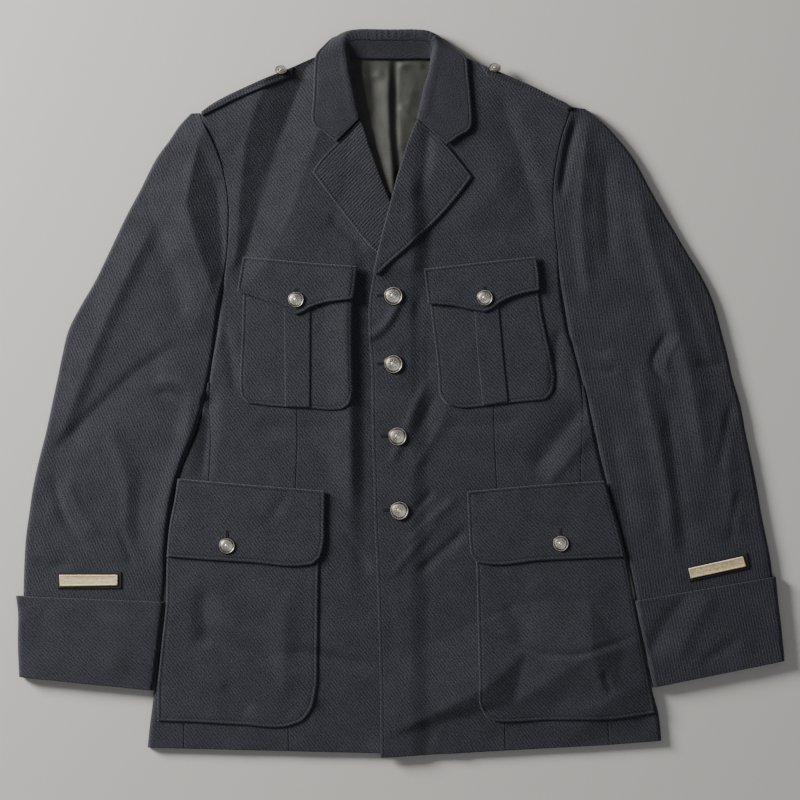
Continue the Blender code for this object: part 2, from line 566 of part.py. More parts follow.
def button(name, spot, diameter, base, tilt=0.0):
    """Domed metal button with a raised rim, turned about its centre."""
    count = 16
    mesh = bmesh.new()
    rings = []
    for share, high in BUTTON_SECTION:
        radius = share * diameter / 2 * MM
        if share == 0.0:
            rings.append([mesh.verts.new((0.0, 0.0, high * MM))])
            continue
        rings.append([mesh.verts.new((radius * math.cos(2 * math.pi * k / count),
                                      radius * math.sin(2 * math.pi * k / count), high * MM))
                      for k in range(count)])
    for low, top in zip(rings[:-1], rings[1:]):
        for k in range(count):
            n = (k + 1) % count
            if len(low) == 1:
                mesh.faces.new((low[0], top[n], top[k]))
            elif len(top) == 1:
                mesh.faces.new((low[k], low[n], top[0]))
            else:
                mesh.faces.new((low[k], low[n], top[n], top[k]))
    turn = Matrix.Rotation(math.radians(-tilt), 4, "X")
    bmesh.ops.transform(mesh, matrix=turn, verts=mesh.verts)
    bmesh.ops.translate(mesh, vec=place((spot[0], spot[1], base)), verts=mesh.verts)
    return finish(name, mesh, BRASS, sharp=50.0)


def inset_outline(rows, near, far):
    """Outline round a table's rows, its two edges moved inwards by the given functions."""
    left, right = [], []
    for row in rows:
        start, end = Vector(row[0:2]), Vector(row[2:4])
        along = (end - start).normalized()
        left.append(tuple(start + along * near(row)))
        right.append(tuple(end - along * far(row)))
    return left + right[::-1]


MATERIALS = [NAVY, NAVY_PATCH, LINING, BLACK, GOLD_BRAID, BRASS]


def sleeve_top(rows, joined_top):
    """Height of a sleeve's top at a point, from its share across the row."""
    def height(x, y, share):
        bow = math.sin(math.pi * min(1.0, max(0.0, share))) ** 0.6
        crown = LOFT - 0.3 + (SLEEVE_LOFT - LOFT + 0.3) * bow
        edge = min(rows, key=lambda row: abs(row[1] - y))[0]
        crown += 0.6 * SHOULDER_RISE * ease(120.0, 15.0, shoulder_line(edge) - y)
        near = ease(60.0, 130.0, y) * (1.0 - ease(0.0, 0.45, share))
        crown += (joined_top(edge, y) - crown) * near
        return crown + fold_height(SLEEVE_FOLDS, x, y)
    return height


def build_front(side, rows, side_rows, top, columns):
    """Front and side panel; gives the grid of points that pockets and lapels are made from."""
    height = lambda x, y, u: top(x, y)
    front = panel("front_" + side, rows, height, WALL, columns, NAVY)
    flank = panel("side_" + side, side_rows, height, WALL, 3, NAVY)
    near = 1.0 if side == "left" else -1.0
    whole = []
    for i, row in enumerate(front):
        x, y, z = row[0]
        whole.append([(x - near * 9.0, y, z)] + row[:-2])
    joined = [front[i][:-3] + flank[i][:3] for i in range(17)]
    return whole, joined


def build_back():
    """Back and its lining, flat on the floor inside the fronts' folded edges."""
    right = [row[2:5] for row in SIDE_RIGHT] + [row[2:5] for row in FRONT_RIGHT[9:]]
    left = [row[2:5] for row in SIDE_LEFT] + [row[2:5] for row in FRONT_LEFT[9:]]
    outline = []
    for points, inward in ((right, 1.0), (left, -1.0)):
        edge = []
        for x, y, turn in points:
            share = 1.0 if y < 0.0 else max(0.08, turn)
            step = 1.5 * SEAM + (WALL + 0.3) * share
            along_shoulder = ease(296.0, 306.0, y)
            edge.append((x + inward * step, y - 3.6 * along_shoulder))
        outline += edge if inward > 0 else edge[::-1]
        if inward > 0:
            outline += [(-66, 360.5), (42, 360.5)]
    plate("back", outline, None, 0.0, FLOOR_WALL, NAVY, step=400.0, flat_under=0.0)
    plate("back_lining", LINING_BACK, None, 0.0, 1.1, LINING, step=30.0,
          flat_under=FLOOR_WALL + REST)


def build_sleeve(side, rows, cuff_rows, top):
    """Top and under sleeve with the turned-up cuff."""
    panel("top_sleeve_" + side, rows, sleeve_top(rows, top), WALL, 5, NAVY, sides=(4, 5),
          loft=6)
    first = 1 + max(k for k, row in enumerate(rows) if row[5] < 1)
    start = []
    for x, y in ((0, 1), (2, 3)):
        low, high = rows[first - 1], rows[first]
        ax, ay, bx, by = cuff_rows[-1]
        inward = 3.2 if x == 0 else -3.2
        inward *= math.copysign(1.0, bx - ax)
        near_cuff = ay + (by - ay) * (low[x] + inward - ax) / (bx - ax) + 1.2
        share = (near_cuff - low[y]) / (high[y] - low[y])
        start += [low[x] + share * (high[x] - low[x]), near_cuff]
    start = (*start, 1, 1, 1)
    outline = inset_outline([start] + rows[first:-1],
                            lambda r: SEAM + (WALL + 0.5) * max(0.08, r[4]),
                            lambda r: SEAM + WALL + 0.6)
    plate("under_sleeve_" + side, outline, None, 0.0, FLOOR_WALL, NAVY, step=400.0,
          flat_under=0.0)
    cuff("cuff_" + side, cuff_rows, NAVY)


def highest(top, spot, diameter):
    """Highest point of a surface below a button."""
    reach = 0.42 * diameter
    return max(top(spot[0] + reach * math.cos(k), spot[1] + reach * math.sin(k))
               for k in range(7))


def lapel_outline(rows):
    """Outline round a lapel's rows."""
    return [row[0:2] for row in rows] + [row[2:4] for row in rows[::-1]]


def build_all():
    for thing in list(bpy.data.objects):
        bpy.data.objects.remove(thing, do_unlink=True)
    build_back()
    pieces = {
        "right": (FRONT_RIGHT, SIDE_RIGHT, right_top, 8, LAPEL_RIGHT, CHEST_POCKET_RIGHT,
                  CHEST_PLEAT_RIGHT, CHEST_FLAP_RIGHT, HIP_POCKET_RIGHT, HIP_FLAP_RIGHT,
                  STRAP_RIGHT),
        "left": (FRONT_LEFT, SIDE_LEFT, left_top, 9, LAPEL_LEFT, CHEST_POCKET_LEFT,
                 CHEST_PLEAT_LEFT, CHEST_FLAP_LEFT, HIP_POCKET_LEFT, HIP_FLAP_LEFT, STRAP_LEFT),
    }
    second = REST + PATCH + REST
    for side, table in pieces.items():
        rows, side_rows, top, columns, lapel, chest, pleat, chest_flap, hip, hip_flap, strap = table
        whole, joined = build_front(side, rows, side_rows, top, columns)
        inlay("lapel_" + side, whole, lapel_outline(lapel), REST, LEAF, NAVY)
        inlay("chest_pocket_" + side, whole, chest, REST, PATCH, NAVY_PATCH)
        inlay("pocket_pleat_" + side, whole, pleat, second, 1.0, NAVY_PATCH)
        inlay("chest_flap_" + side, whole, chest_flap, second + 1.0 + REST, PATCH, NAVY_PATCH)
        inlay("hip_pocket_" + side, joined, hip, REST, PATCH, NAVY_PATCH)
        inlay("hip_flap_" + side, joined, hip_flap, second, PATCH, NAVY_PATCH)
        plate("shoulder_strap_" + side, strap, top, REST, PATCH + 0.4, NAVY_PATCH)
    build_sleeve("right", SLEEVE_RIGHT, CUFF_RIGHT, right_top)
    build_sleeve("left", SLEEVE_LEFT, CUFF_LEFT, left_top)
    collar("collar", COLLAR, NAVY)
    for name, spot in FRONT_BUTTONS.items():
        button(name, spot, FRONT_BUTTON, highest(left_top, spot, FRONT_BUTTON) + REST)
    for name, spot in POCKET_BUTTONS.items():
        top = left_top if "left" in name else right_top
        lift = second + PATCH + REST + (1.0 + REST if "chest" in name else 0.0)
        button(name, spot, POCKET_BUTTON, highest(top, spot, POCKET_BUTTON) + lift)
    for name, (x, y, high, tilt) in STRAP_BUTTONS.items():
        button(name, (x, y), STRAP_BUTTON, high, tilt)
    for side, (backing, braid) in SERVICE_BARS.items():
        plate("bar_backing_" + side, backing, None, 0.0, 1.0, BLACK, step=400.0,
              flat_under=SLEEVE_LOFT + REST)
        plate("service_bar_" + side, braid, None, 0.0, 1.0, GOLD_BRAID, step=400.0,
              flat_under=SLEEVE_LOFT + 2 * REST + 1.0)


build_all()
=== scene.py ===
# %% [markdown]
# # A uniform jacket, laid flat on its back
#
# The real thing is a navy wool jacket that somebody has smoothed out on a table, so nearly all
# that the eye reads is cloth: pressed edges, seams, and the creases that wearing left in it. It
# could be simulated, but a simulation would not give these creases. It is built as a tailor
# builds it instead: each cut piece is a thin closed shell over its imported solid, and the creases
# are put in as troughs and ridges with a name, a path, two widths and a height, and as three
# groups of flat facets.
#
# The imported solids come first. Every new piece lies where its solid lies, in the same frame.

# %% Load the imported solids
import math

import bmesh
import bpy
import numpy as np
from mathutils import Matrix, Vector
from mathutils.geometry import delaunay_2d_cdt


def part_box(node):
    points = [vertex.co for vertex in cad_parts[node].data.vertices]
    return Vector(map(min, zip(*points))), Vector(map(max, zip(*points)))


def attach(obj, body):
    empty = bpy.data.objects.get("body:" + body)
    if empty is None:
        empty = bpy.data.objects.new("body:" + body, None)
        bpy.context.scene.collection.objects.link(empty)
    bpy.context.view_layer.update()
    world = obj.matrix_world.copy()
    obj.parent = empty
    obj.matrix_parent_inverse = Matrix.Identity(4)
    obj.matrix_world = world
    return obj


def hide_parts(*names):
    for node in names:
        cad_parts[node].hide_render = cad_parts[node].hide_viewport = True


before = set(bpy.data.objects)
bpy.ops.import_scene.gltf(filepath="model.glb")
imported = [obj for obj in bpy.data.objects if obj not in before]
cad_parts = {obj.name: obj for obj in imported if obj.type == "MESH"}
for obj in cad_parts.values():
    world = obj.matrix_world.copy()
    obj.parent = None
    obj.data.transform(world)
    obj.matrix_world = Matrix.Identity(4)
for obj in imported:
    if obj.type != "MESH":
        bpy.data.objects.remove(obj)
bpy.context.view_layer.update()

# %% [markdown]
# ## Sizes
#
# A tailor's pattern is measured flat, in millimetres. The tables here are taken in the same way,
# seen from above, with +Y towards the collar and heights above the table. `place` turns such a
# point into metres about the middle of the whole outline, which is where the solids are.
# Cloth that lies on cloth needs a height: the loft is the top of two layers pressed flat.

# %% Sizes of the laid jacket
MM = 0.001
MIDDLE = (0.0, -0.5)
CLOTH = 1.7          # outer cloth with its canvas
PATCH = 1.5          # pocket and flap cloth
LEAF = 2.2           # collar and lapel, two layers turned over
REST = 0.3           # space between a piece and the one that it lies on
EDGE_ROLL = 4.6      # radius of a folded side edge
LOFT = 7.4           # top of the front above the floor
SHOULDER_RISE = 4.6  # extra height of the padded shoulder
SLEEVE_LOFT = 8.3    # top of the sleeve at its crown
LAP = 2.9            # left front lying on the right front
LAPEL_LAP = 2.4      # left front lying on the right lapel as well
STITCH_LINE = 3.6    # topstitching, in from an edge
LOWEST = 3.9         # no crease sinks lower than this above the floor
EDGE_SINK = 3.6      # right front, pressed down where the left front's edge lies beside it
HEM_RISE = 2.0       # the left hem's facets are raised by this factor
CREASE_EDGE = 1.0    # how round a crease is along its line
CREASE_FOOT = 0.05   # and where its two sides run out
FACET_EDGE = 1.5     # how far the edge between two facets is rounded


def place(points):
    """Layout millimetres to metres in the frame of the solids."""
    points = np.asarray(points, float)
    return (points - np.array((MIDDLE[0], MIDDLE[1], 0.0))) * MM


def ease(start, end, value):
    """Smooth share from 0 at start to 1 at end."""
    share = np.clip((value - start) / (end - start), 0.0, 1.0)
    return share * share * (3.0 - 2.0 * share)


def bell(value, centre, width):
    """1 at the centre, falling off softly on both sides of it."""
    return np.exp(-((value - centre) / width) ** 2)


# %% [markdown]
# ## The pattern
#
# Each panel of the jacket is a strip of cloth that widens and narrows, so it is written as rows
# drawn across it: where the row starts, where it ends, and how far each end is folded down to the
# floor. A row costs a few numbers and can be checked against the real jacket with a ruler. What is
# sewn onto a panel, such as a pocket, is written as its outline.

# %% The panels, row by row
# A row across the wearer's right front: front edge, side seam or armhole, turned-down share.
FRONT_RIGHT = [
    # in_x, in_y, out_x, out_y, turn
    (-4, -390, -233.5, -384.5, 0), (-4, -355.5, -233.5, -355.5, 0), (-4, -321, -230.5, -321, 0),
    (-4, -272.5, -225.5, -272.5, 0), (-4, -224, -220.5, -224, 0), (-4, -180.5, -216, -180.5, 0),
    (-4, -137.5, -211.5, -137.5, 0), (-4, -94, -207, -94, 0), (-4, -51, -205, -51, 0),
    (-4, -13, -207, -13, 0), (-4, 24.5, -205.4, 24.5, 1), (-4, 62, -199.2, 62, 1),
    (-4, 95, -195.2, 95, 1), (-4, 122, -190.8, 122, 0.5), (-6, 149, -187.2, 149, 0),
    (-11, 184.5, -185.2, 190, 0), (-20.3, 219, -187, 219, 0), (-31.3, 251.5, -193.5, 249, 0),
    (-40, 276, -203.5, 275, 0), (-46, 297, -212.5, 292, 0), (-50.5, 312, -216, 302, 1),
    (-54, 326, -200, 314.5, 1), (-58.5, 345, -170, 329.4, 1),
    (-63.5, 364, -120, 350.8, 1), (-66, 370.5, -90, 363.8, 1),
]
FRONT_LEFT = [
    (-21, -394, 226.5, -380.5, 0), (-21.5, -355.5, 223.5, -350, 0), (-22, -321, 220, -321, 0),
    (-23, -272.5, 215, -275, 0), (-24.5, -224, 210.5, -224, 0), (-26, -180.5, 205.5, -179.5, 0),
    (-28, -137.5, 200.5, -137.5, 0), (-29, -94, 195, -94, 0), (-30.5, -51, 196.5, -51, 0),
    (-31, -13, 197, -13, 0), (-31.5, 24.5, 193.2, 26.5, 1), (-34, 62, 182.2, 64, 1),
    (-34, 95, 176, 97, 1), (-30, 122, 171.7, 124, 0.5), (-23.5, 152, 169.5, 152, 0),
    (-12.5, 184.5, 166, 190, 0), (-2.7, 219, 165, 219, 0), (4.8, 251.5, 168, 249, 0),
    (11.5, 276, 173.5, 275, 0), (21.5, 297, 179, 292, 0), (25, 312, 184.5, 308.5, 1),
    (29, 326, 166, 319.5, 1), (34.5, 345, 138, 332.5, 1),
    (39.5, 364, 98, 350.5, 1), (42, 371, 70, 361.5, 1),
]
# A row across each side panel: seam to the front, folded side edge.
SIDE_RIGHT = [
    (-233.5, -384.5, -273.5, -383.5, 1), (-233.5, -355.5, -270.5, -355.5, 1),
    (-230.5, -321, -266, -321, 1), (-225.5, -272.5, -260, -272.5, 1),
    (-220.5, -224, -254.3, -224, 1), (-216, -180.5, -253.4, -180.5, 1),
    (-211.5, -137.5, -249.6, -137.5, 1), (-207, -94, -241.4, -94, 1), (-205, -51, -225.2, -51, 1),
    (-206.3, -24, -216.4, -24, 1), (-207, -6, -212, -6, 1), (-206, 11, -208.4, 11, 1),
]
SIDE_LEFT = [
    (226.5, -380.5, 282.5, -376, 1), (223.5, -350, 279.5, -348, 1), (220, -321, 272, -319, 1),
    (215, -275, 263.2, -275.5, 1), (210.5, -224, 252.8, -224, 1), (205.5, -179.5, 244.8, -178.5, 1),
    (200.5, -137.5, 233.6, -137.5, 1), (195, -94, 221.6, -94, 1), (196.5, -51, 211.2, -51, 1),
    (197, -28, 206.4, -28, 1), (197.2, -10, 202.4, -10, 1), (196, 8, 198, 8, 1),
]
# A row across each sleeve: body side, outer side, turned-down share of each, share of the loft.
# The rows inside the cuff turn down by half, on to the cuff's own under layer.
SLEEVE_RIGHT = [
    # in_x, in_y, out_x, out_y, turn_in, turn_out, loft
    (-269.5, -308.5, -407.5, -296.5, 0.34, 0.34, 1), (-267.6, -270, -408, -260, 0.34, 0.34, 1),
    (-259.4, -236, -408, -229, 0.5, 0.5, 0.9), (-256.6, -226, -407.8, -219, 0.9, 0.9, 0.98),
    (-254.4, -206, -407.4, -200, 1, 1, 1),
    (-252.4, -164.5, -405.5, -161, 1, 1, 1), (-249, -132, -402, -134, 1, 1, 1),
    (-243.6, -103, -397.5, -103, 1, 1, 1), (-234, -72.5, -391, -72.5, 1, 1, 1),
    (-222.2, -42.5, -383.5, -43.5, 1, 1, 1), (-213.8, -13, -377, -13, 1, 1, 1),
    (-207.4, 14, -371, 15, 1, 1, 1), (-202.4, 41, -365.5, 42, 1, 1, 1), (-198.8, 68, -359, 68, 1, 1, 1),
    (-195.4, 95, -346, 93.5, 1, 1, 1), (-191, 122, -329.5, 122, 0.5, 1, 1),
    (-187.8, 149, -316.5, 149, 0, 1, 1), (-185.8, 190, -297, 190, 0, 1, 1),
    (-187.5, 219, -281.5, 219, 0, 1, 1), (-194, 249, -265, 251.5, 0, 1, 1),
    (-204, 275, -249.5, 273, 0, 1, 1), (-213, 292, -239.5, 288, 0, 1, 1),
    (-216.4, 302, -227, 301.5, 0, 1, 0.92),
]
SLEEVE_LEFT = [
    (273.5, -305, 408.5, -279, 0.34, 0.34, 1), (267, -270, 406, -244, 0.34, 0.34, 1),
    (258.4, -238, 404, -213, 0.5, 0.5, 0.9), (255.4, -226, 403, -201, 0.9, 0.9, 0.98),
    (250.6, -203, 400.6, -181, 1, 1, 1), (241.4, -164.5, 396, -157, 1, 1, 1),
    (232.4, -132, 390.5, -130, 1, 1, 1), (224.2, -103, 386, -103, 1, 1, 1),
    (216.4, -72.5, 380, -72.5, 1, 1, 1), (209.6, -42.5, 373.5, -42.5, 1, 1, 1),
    (203.2, -13, 368, -13, 1, 1, 1), (195.6, 14, 360, 14, 1, 1, 1), (188.4, 41, 354, 41, 1, 1, 1),
    (181.4, 68, 347, 68, 1, 1, 1), (176.2, 97, 339, 97, 1, 1, 1), (172.4, 124, 327, 124, 0.5, 1, 1),
    (170, 152, 310, 152, 0, 1, 1), (166.6, 190, 287.5, 190, 0, 1, 1), (165.6, 219, 271, 219, 0, 1, 1),
    (168.6, 249, 253.5, 251.5, 0, 1, 1), (174.1, 275, 236, 274, 0, 1, 1),
    (179.6, 292, 221, 290, 0, 1, 1), (184.9, 308.5, 201, 306.5, 0, 1, 0.9),
]
# A row across each turned-up cuff.
CUFF_RIGHT = [
    (-266.6, -321.5, -412, -307), (-261, -278, -413.5, -272.5), (-257, -245.5, -413.2, -240),
    (-254.6, -226, -415.5, -219.5),
]
CUFF_LEFT = [
    (272.4, -318.5, 415.5, -289.5), (265.2, -283, 412, -254), (258.8, -254, 408.5, -224),
    (253, -225, 406, -198.5),
]
# A row across each lapel: roll line, outer edge.
LAPEL_RIGHT = [
    (-43.8, 295.7, -68.8, 269.7), (-39, 286, -81.5, 257), (-34, 269.5, -95, 238.5),
    (-27.5, 251.5, -84.5, 224.5), (-21, 233, -71.5, 207), (-14.5, 217, -58.5, 190),
    (-9, 203, -45.5, 173.5), (-3.5, 184.5, -32.5, 158.5), (0, 168, -19, 147),
]
LAPEL_LEFT = [
    (18.3, 295.7, 50.7, 266.7), (14, 286, 63.5, 251.5), (8.5, 272, 77.5, 233),
    (3, 254.5, 64.5, 215.5), (-3.5, 234, 50.5, 198.5), (-9, 212.5, 36.5, 183.5),
    (-14.5, 192, 21.5, 169.5), (-21, 167, 5, 154), (-26, 145.5, -11, 140),
    (-29.5, 129, -24, 127),
]
# A row along the collar, from the right gorge round the back neck to the left gorge.
# leaf: free edge, bend: where the leaf turns, roll: fold edge, foot: neck seam, each x, y, z.
COLLAR = [
    # leaf_x, leaf_y, leaf_z, bend_x, bend_y, bend_z, roll_x, roll_y, roll_z, foot_x, foot_y, foot_z
    (-68.8, 270.3, 11.3, -56, 283.6, 11.8, -44, 296.2, 12.2, -44, 296.2, 7.6),
    (-81.8, 280.8, 11.8, -63, 291.6, 12.5, -45, 302, 13, -45, 302, 8),
    (-95, 292, 12.4, -71, 300.2, 13.3, -46.6, 308.5, 13.8, -46.6, 308.5, 8.4),
    (-94, 319.5, 13.4, -72, 323.6, 14.3, -51, 328, 14.8, -51, 328, 8.8),
    (-93, 346.5, 14, -74, 346.6, 14.9, -55, 346.8, 15.4, -55, 346.8, 8.6),
    (-91, 364, 13.6, -74, 364.4, 15, -57.8, 364.8, 15.6, -55.6, 362.6, 7.8),
    (-81.5, 375.5, 11.4, -71.5, 376.6, 13.4, -60.2, 377.8, 15.6, -53.6, 363.2, 6.8),
    (-75.9, 380.8, 8.7, -68.7, 382.1, 11.7, -59.7, 383.2, 15.4, -51.4, 362.6, 6.5),
    (-69.5, 384, 5.6, -64.6, 386.6, 9.6, -57.6, 387.4, 15.2, -48.6, 361.8, 6.2),
    (-61.9, 382.5, 3.3, -58.7, 389.6, 6.8, -53.8, 389.6, 15, -45.9, 361.4, 6.1),
    (-53, 379, 1.6, -51, 391.4, 4.4, -48, 390.6, 14.8, -42, 361.2, 6),
    (-42.2, 374.8, 1.3, -40.8, 392.2, 3.5, -39, 391, 14.7, -35.1, 361.1, 5.9),
    (-31, 371, 1.4, -30, 392.3, 3.2, -29, 390.9, 14.6, -27, 361, 5.9),
    (-11, 369.5, 1.4, -11, 391.9, 3.2, -11, 390.6, 14.6, -11, 360.8, 5.9),
    (10, 371, 1.4, 9.5, 392, 3.2, 9, 390.9, 14.6, 7, 361, 5.9),
    (21.3, 373.9, 1.2, 20, 391.6, 3.5, 18.7, 390.6, 14.7, 14.5, 361.1, 5.9),
    (32, 377, 1.6, 29.6, 390.4, 4.4, 27, 389.8, 14.8, 20.6, 361.2, 6),
    (40.4, 379.7, 3.3, 36.9, 387.4, 6.8, 32.5, 388.2, 15, 24.5, 361.2, 6.1),
    (47.5, 380.5, 5.6, 42.6, 383.4, 9.6, 36, 385.4, 15.2, 27.2, 361.2, 6.2),
    (53.7, 376.6, 8.8, 46.5, 378.5, 11.7, 37.9, 380.6, 15.4, 29.8, 361.3, 6.5),
    (59.5, 371, 11.6, 49.4, 373, 13.4, 38.4, 374.8, 15.6, 31.8, 361.4, 6.8),
    (71.5, 360.5, 14.2, 53.6, 361.8, 15, 35.6, 363, 15.6, 33.4, 361, 7.8),
    (74, 341.5, 14, 52.8, 344, 14.9, 31.4, 346.6, 15.4, 31.4, 346.6, 8.6),
    (76.5, 317, 13.4, 51.4, 322.4, 14.3, 26, 328, 14.8, 26, 328, 8.8),
    (77, 287, 12.4, 49.4, 297.8, 13.3, 21.6, 308.5, 13.8, 21.6, 308.5, 8.4),
    (63.8, 276.8, 11.8, 41.6, 289.4, 12.5, 19.6, 302, 13, 19.6, 302, 8),
    (50.8, 267.3, 11.3, 34.6, 281.8, 11.8, 18.5, 296.2, 12.2, 18.5, 296.2, 7.6),
]
# Outlines of the pieces sewn onto the panels.
CHEST_POCKET_RIGHT = [
    (-169, 137), (-50, 129.5), (-51.5, 100), (-52, 57), (-51.5, 19), (-51, -0.5), (-54.5, -11),
    (-62, -17.5), (-70.5, -18.5), (-97.5, -17), (-124.5, -15.5), (-151.5, -13), (-164.5, -10.5),
    (-171.5, -4.5), (-173, 5), (-172.5, 35.5), (-171, 62.5), (-170, 100),
]
CHEST_PLEAT_RIGHT = [(-125.5, 122), (-97, 120), (-97.5, -16), (-124.5, -15)]
CHEST_FLAP_RIGHT = [
    (-170, 147), (-108.5, 141), (-46, 136.5), (-48, 119.5), (-50.5, 101), (-65, 99.5),
    (-81.5, 97), (-95.5, 92.5), (-105, 87), (-112.5, 84), (-123.5, 88.5), (-135.5, 95),
    (-149.5, 101), (-162.5, 105.5), (-176, 110),
]
CHEST_POCKET_LEFT = [
    (29, 127), (145.5, 137), (149, 109), (153, 84), (157.5, 62.5), (164, 33), (166.5, 14),
    (164, 1), (156.5, -7.5), (129.5, -10), (107.5, -12.5), (86, -15), (64.5, -16), (50.5, -12),
    (44, -4.5), (41, 19), (38.5, 46), (35.5, 68), (32.5, 93.5),
]
CHEST_PLEAT_LEFT = [(78, 120), (104, 122), (110.5, 46), (116.5, -9.5), (89, -14), (83, 46)]
CHEST_FLAP_LEFT = [
    (25.5, 133.5), (86, 140.5), (146.5, 147), (149, 132.5), (150.5, 110.5), (134.5, 107.5),
    (118.5, 102.5), (107.5, 97), (99, 90.5), (91.5, 87), (80.5, 89), (70, 91), (59, 93.5),
    (43, 95), (30, 96), (27.5, 116.5),
]
HIP_POCKET_RIGHT = [
    (-243, -112), (-84.5, -116), (-88, -186), (-89.5, -278), (-91, -321), (-96.5, -342.5),
    (-105, -353.5), (-116, -358.5), (-173, -358.5), (-216.5, -356), (-262, -354.5),
    (-262, -321), (-258.4, -278), (-253.2, -224), (-252.4, -180), (-249, -140),
]
HIP_FLAP_RIGHT = [
    (-240.6, -92.4), (-225, -94), (-162.5, -99.5), (-81.5, -106), (-82, -137.5), (-83, -164.5),
    (-86.5, -177.5), (-95.5, -185), (-105, -186.5), (-162.5, -183), (-205.5, -180.5),
    (-252.6, -177), (-249.4, -144), (-243.2, -112),
]
HIP_POCKET_LEFT = [
    (78.5, -116), (224, -108), (232.6, -137.5), (243.8, -180), (254, -235), (265, -290),
    (275, -346), (248, -350), (226.5, -352.5), (194, -353), (151, -353.5),
    (118.5, -355.5), (102.5, -354.5), (92.5, -349), (86.5, -338.5), (85, -310), (84, -267),
    (83, -224), (82, -185),
]
HIP_FLAP_LEFT = [
    (72, -106.5), (151, -99.5), (220.6, -95), (231, -132), (242.6, -177), (194, -179),
    (151, -181), (93.5, -185), (83, -183), (76.5, -175), (75, -164.5), (73.5, -137.5),
]
STRAP_RIGHT = [
    (-214.5, 303.4), (-170, 328.1), (-116, 351.5), (-117, 341.5), (-130, 336), (-172.5, 318.5),
    (-213.5, 298.5),
]
STRAP_LEFT = [
    (87, 354), (93.5, 341.5), (130.5, 326.5), (160.5, 314.5), (181, 304.6), (184, 308.6),
    (140, 331.6), (104, 347.2),
]
LINING_BACK = [(-58, 366), (36, 366), (37, 322), (32, 294.5), (20, 245), (8, 188),
               (-26, 188), (-38, 245), (-52, 294.5), (-58, 322)]
# Middles of the buttons.
FRONT_BUTTONS = {"button_front_1": (-7.5, 104.5), "button_front_2": (-7.5, 31),
                 "button_front_3": (-3, -47), "button_front_4": (-1, -127)}
POCKET_BUTTONS = {"button_chest_right": (-112.5, 100.5), "button_chest_left": (91, 102.5),
                  "button_hip_right": (-187, -165), "button_hip_left": (173, -162.5)}
# Braid bars on the forearms: backing and braid outlines.
SERVICE_BARS = {
    "right": ([(-370.5, -193), (-301, -193.5), (-301, -211.5), (-370.5, -211.5)],
              [(-368, -196.5), (-305, -196.5), (-305, -208), (-367.5, -209)]),
    "left": ([(308, -187), (374.5, -172.5), (377.5, -189.5), (312, -204)],
             [(311, -189.5), (370, -176.5), (373.5, -187.5), (313.5, -200.5)]),
}

# %% [markdown]
# ## The creases
#
# Wool keeps a soft crease where a sleeve was bent or a pocket was pulled. Seen from above each one
# is a path; across it the cloth rises or sinks, and each side has a slope of its own. The tables
# name every crease with its path, its half width to the left and right of the path, and its rise,
# which is below zero for a trough. Where creases meet, the cloth between them is nearly flat, so
# those places are tables of corners and edges.

# %% Creases of the body, sleeves and cuffs
BODY_RIGHT_FOLDS = [
    # name, path, half width on the left and right of the path, rise
    ("waist_hollow", [(-204, 14), (-210, -51), (-216, -101)], 12, 12, -2.6),
    ("front_edge_swell", [(-52, 141), (-58, 79), (-55, -8), (-52, -137)], 12, 22, 2.9),
    ("below_lapel", [(-80, 191), (-54, 169), (-35, 154)], 8, 5, -1.8),
    ("pocket_hollow_1", [(-210, -208), (-213, -237), (-209, -278)], 18, 13, -2.2),
    ("pocket_hollow_2", [(-227, -256), (-164, -278), (-124, -297)], 13, 10, -1.9),
    ("pocket_hollow_3", [(-193, -312), (-177, -329), (-158, -345)], 9, 12, -1.5),
    ("pocket_swell", [(-119, -202), (-126, -267), (-123, -337)], 16, 16, 1.3),
    ("hem_crease_1", [(-132, -276), (-85, -284), (-20, -299)], 8, 11, -1.8),
    ("hem_crease_2", [(-95, -330), (-60, -358), (-18, -388)], 14, 11, -2.2),
    ("hip_crease_1", [(-108, -146), (-70, -168), (-31, -194)], 6, 9, -1.4),
    ("hip_crease_2", [(-63, -148), (-48, -170), (-31, -198)], 5, 6, -1.3),
    ("waist_facet", [(-110, -29), (-78, -81), (-54, -142)], 12, 14, -1.2),
    ("underarm_1", [(-193, 81), (-184, 44), (-177, -4)], 8, 8, -1.5),
    ("below_chest_pocket", [(-162, -38), (-119, -34), (-65, -42)], 11, 13, -1),
    ("dart_pull", [(-117, -101), (-134, -127), (-149, -148)], 8, 8, -0.9),
]
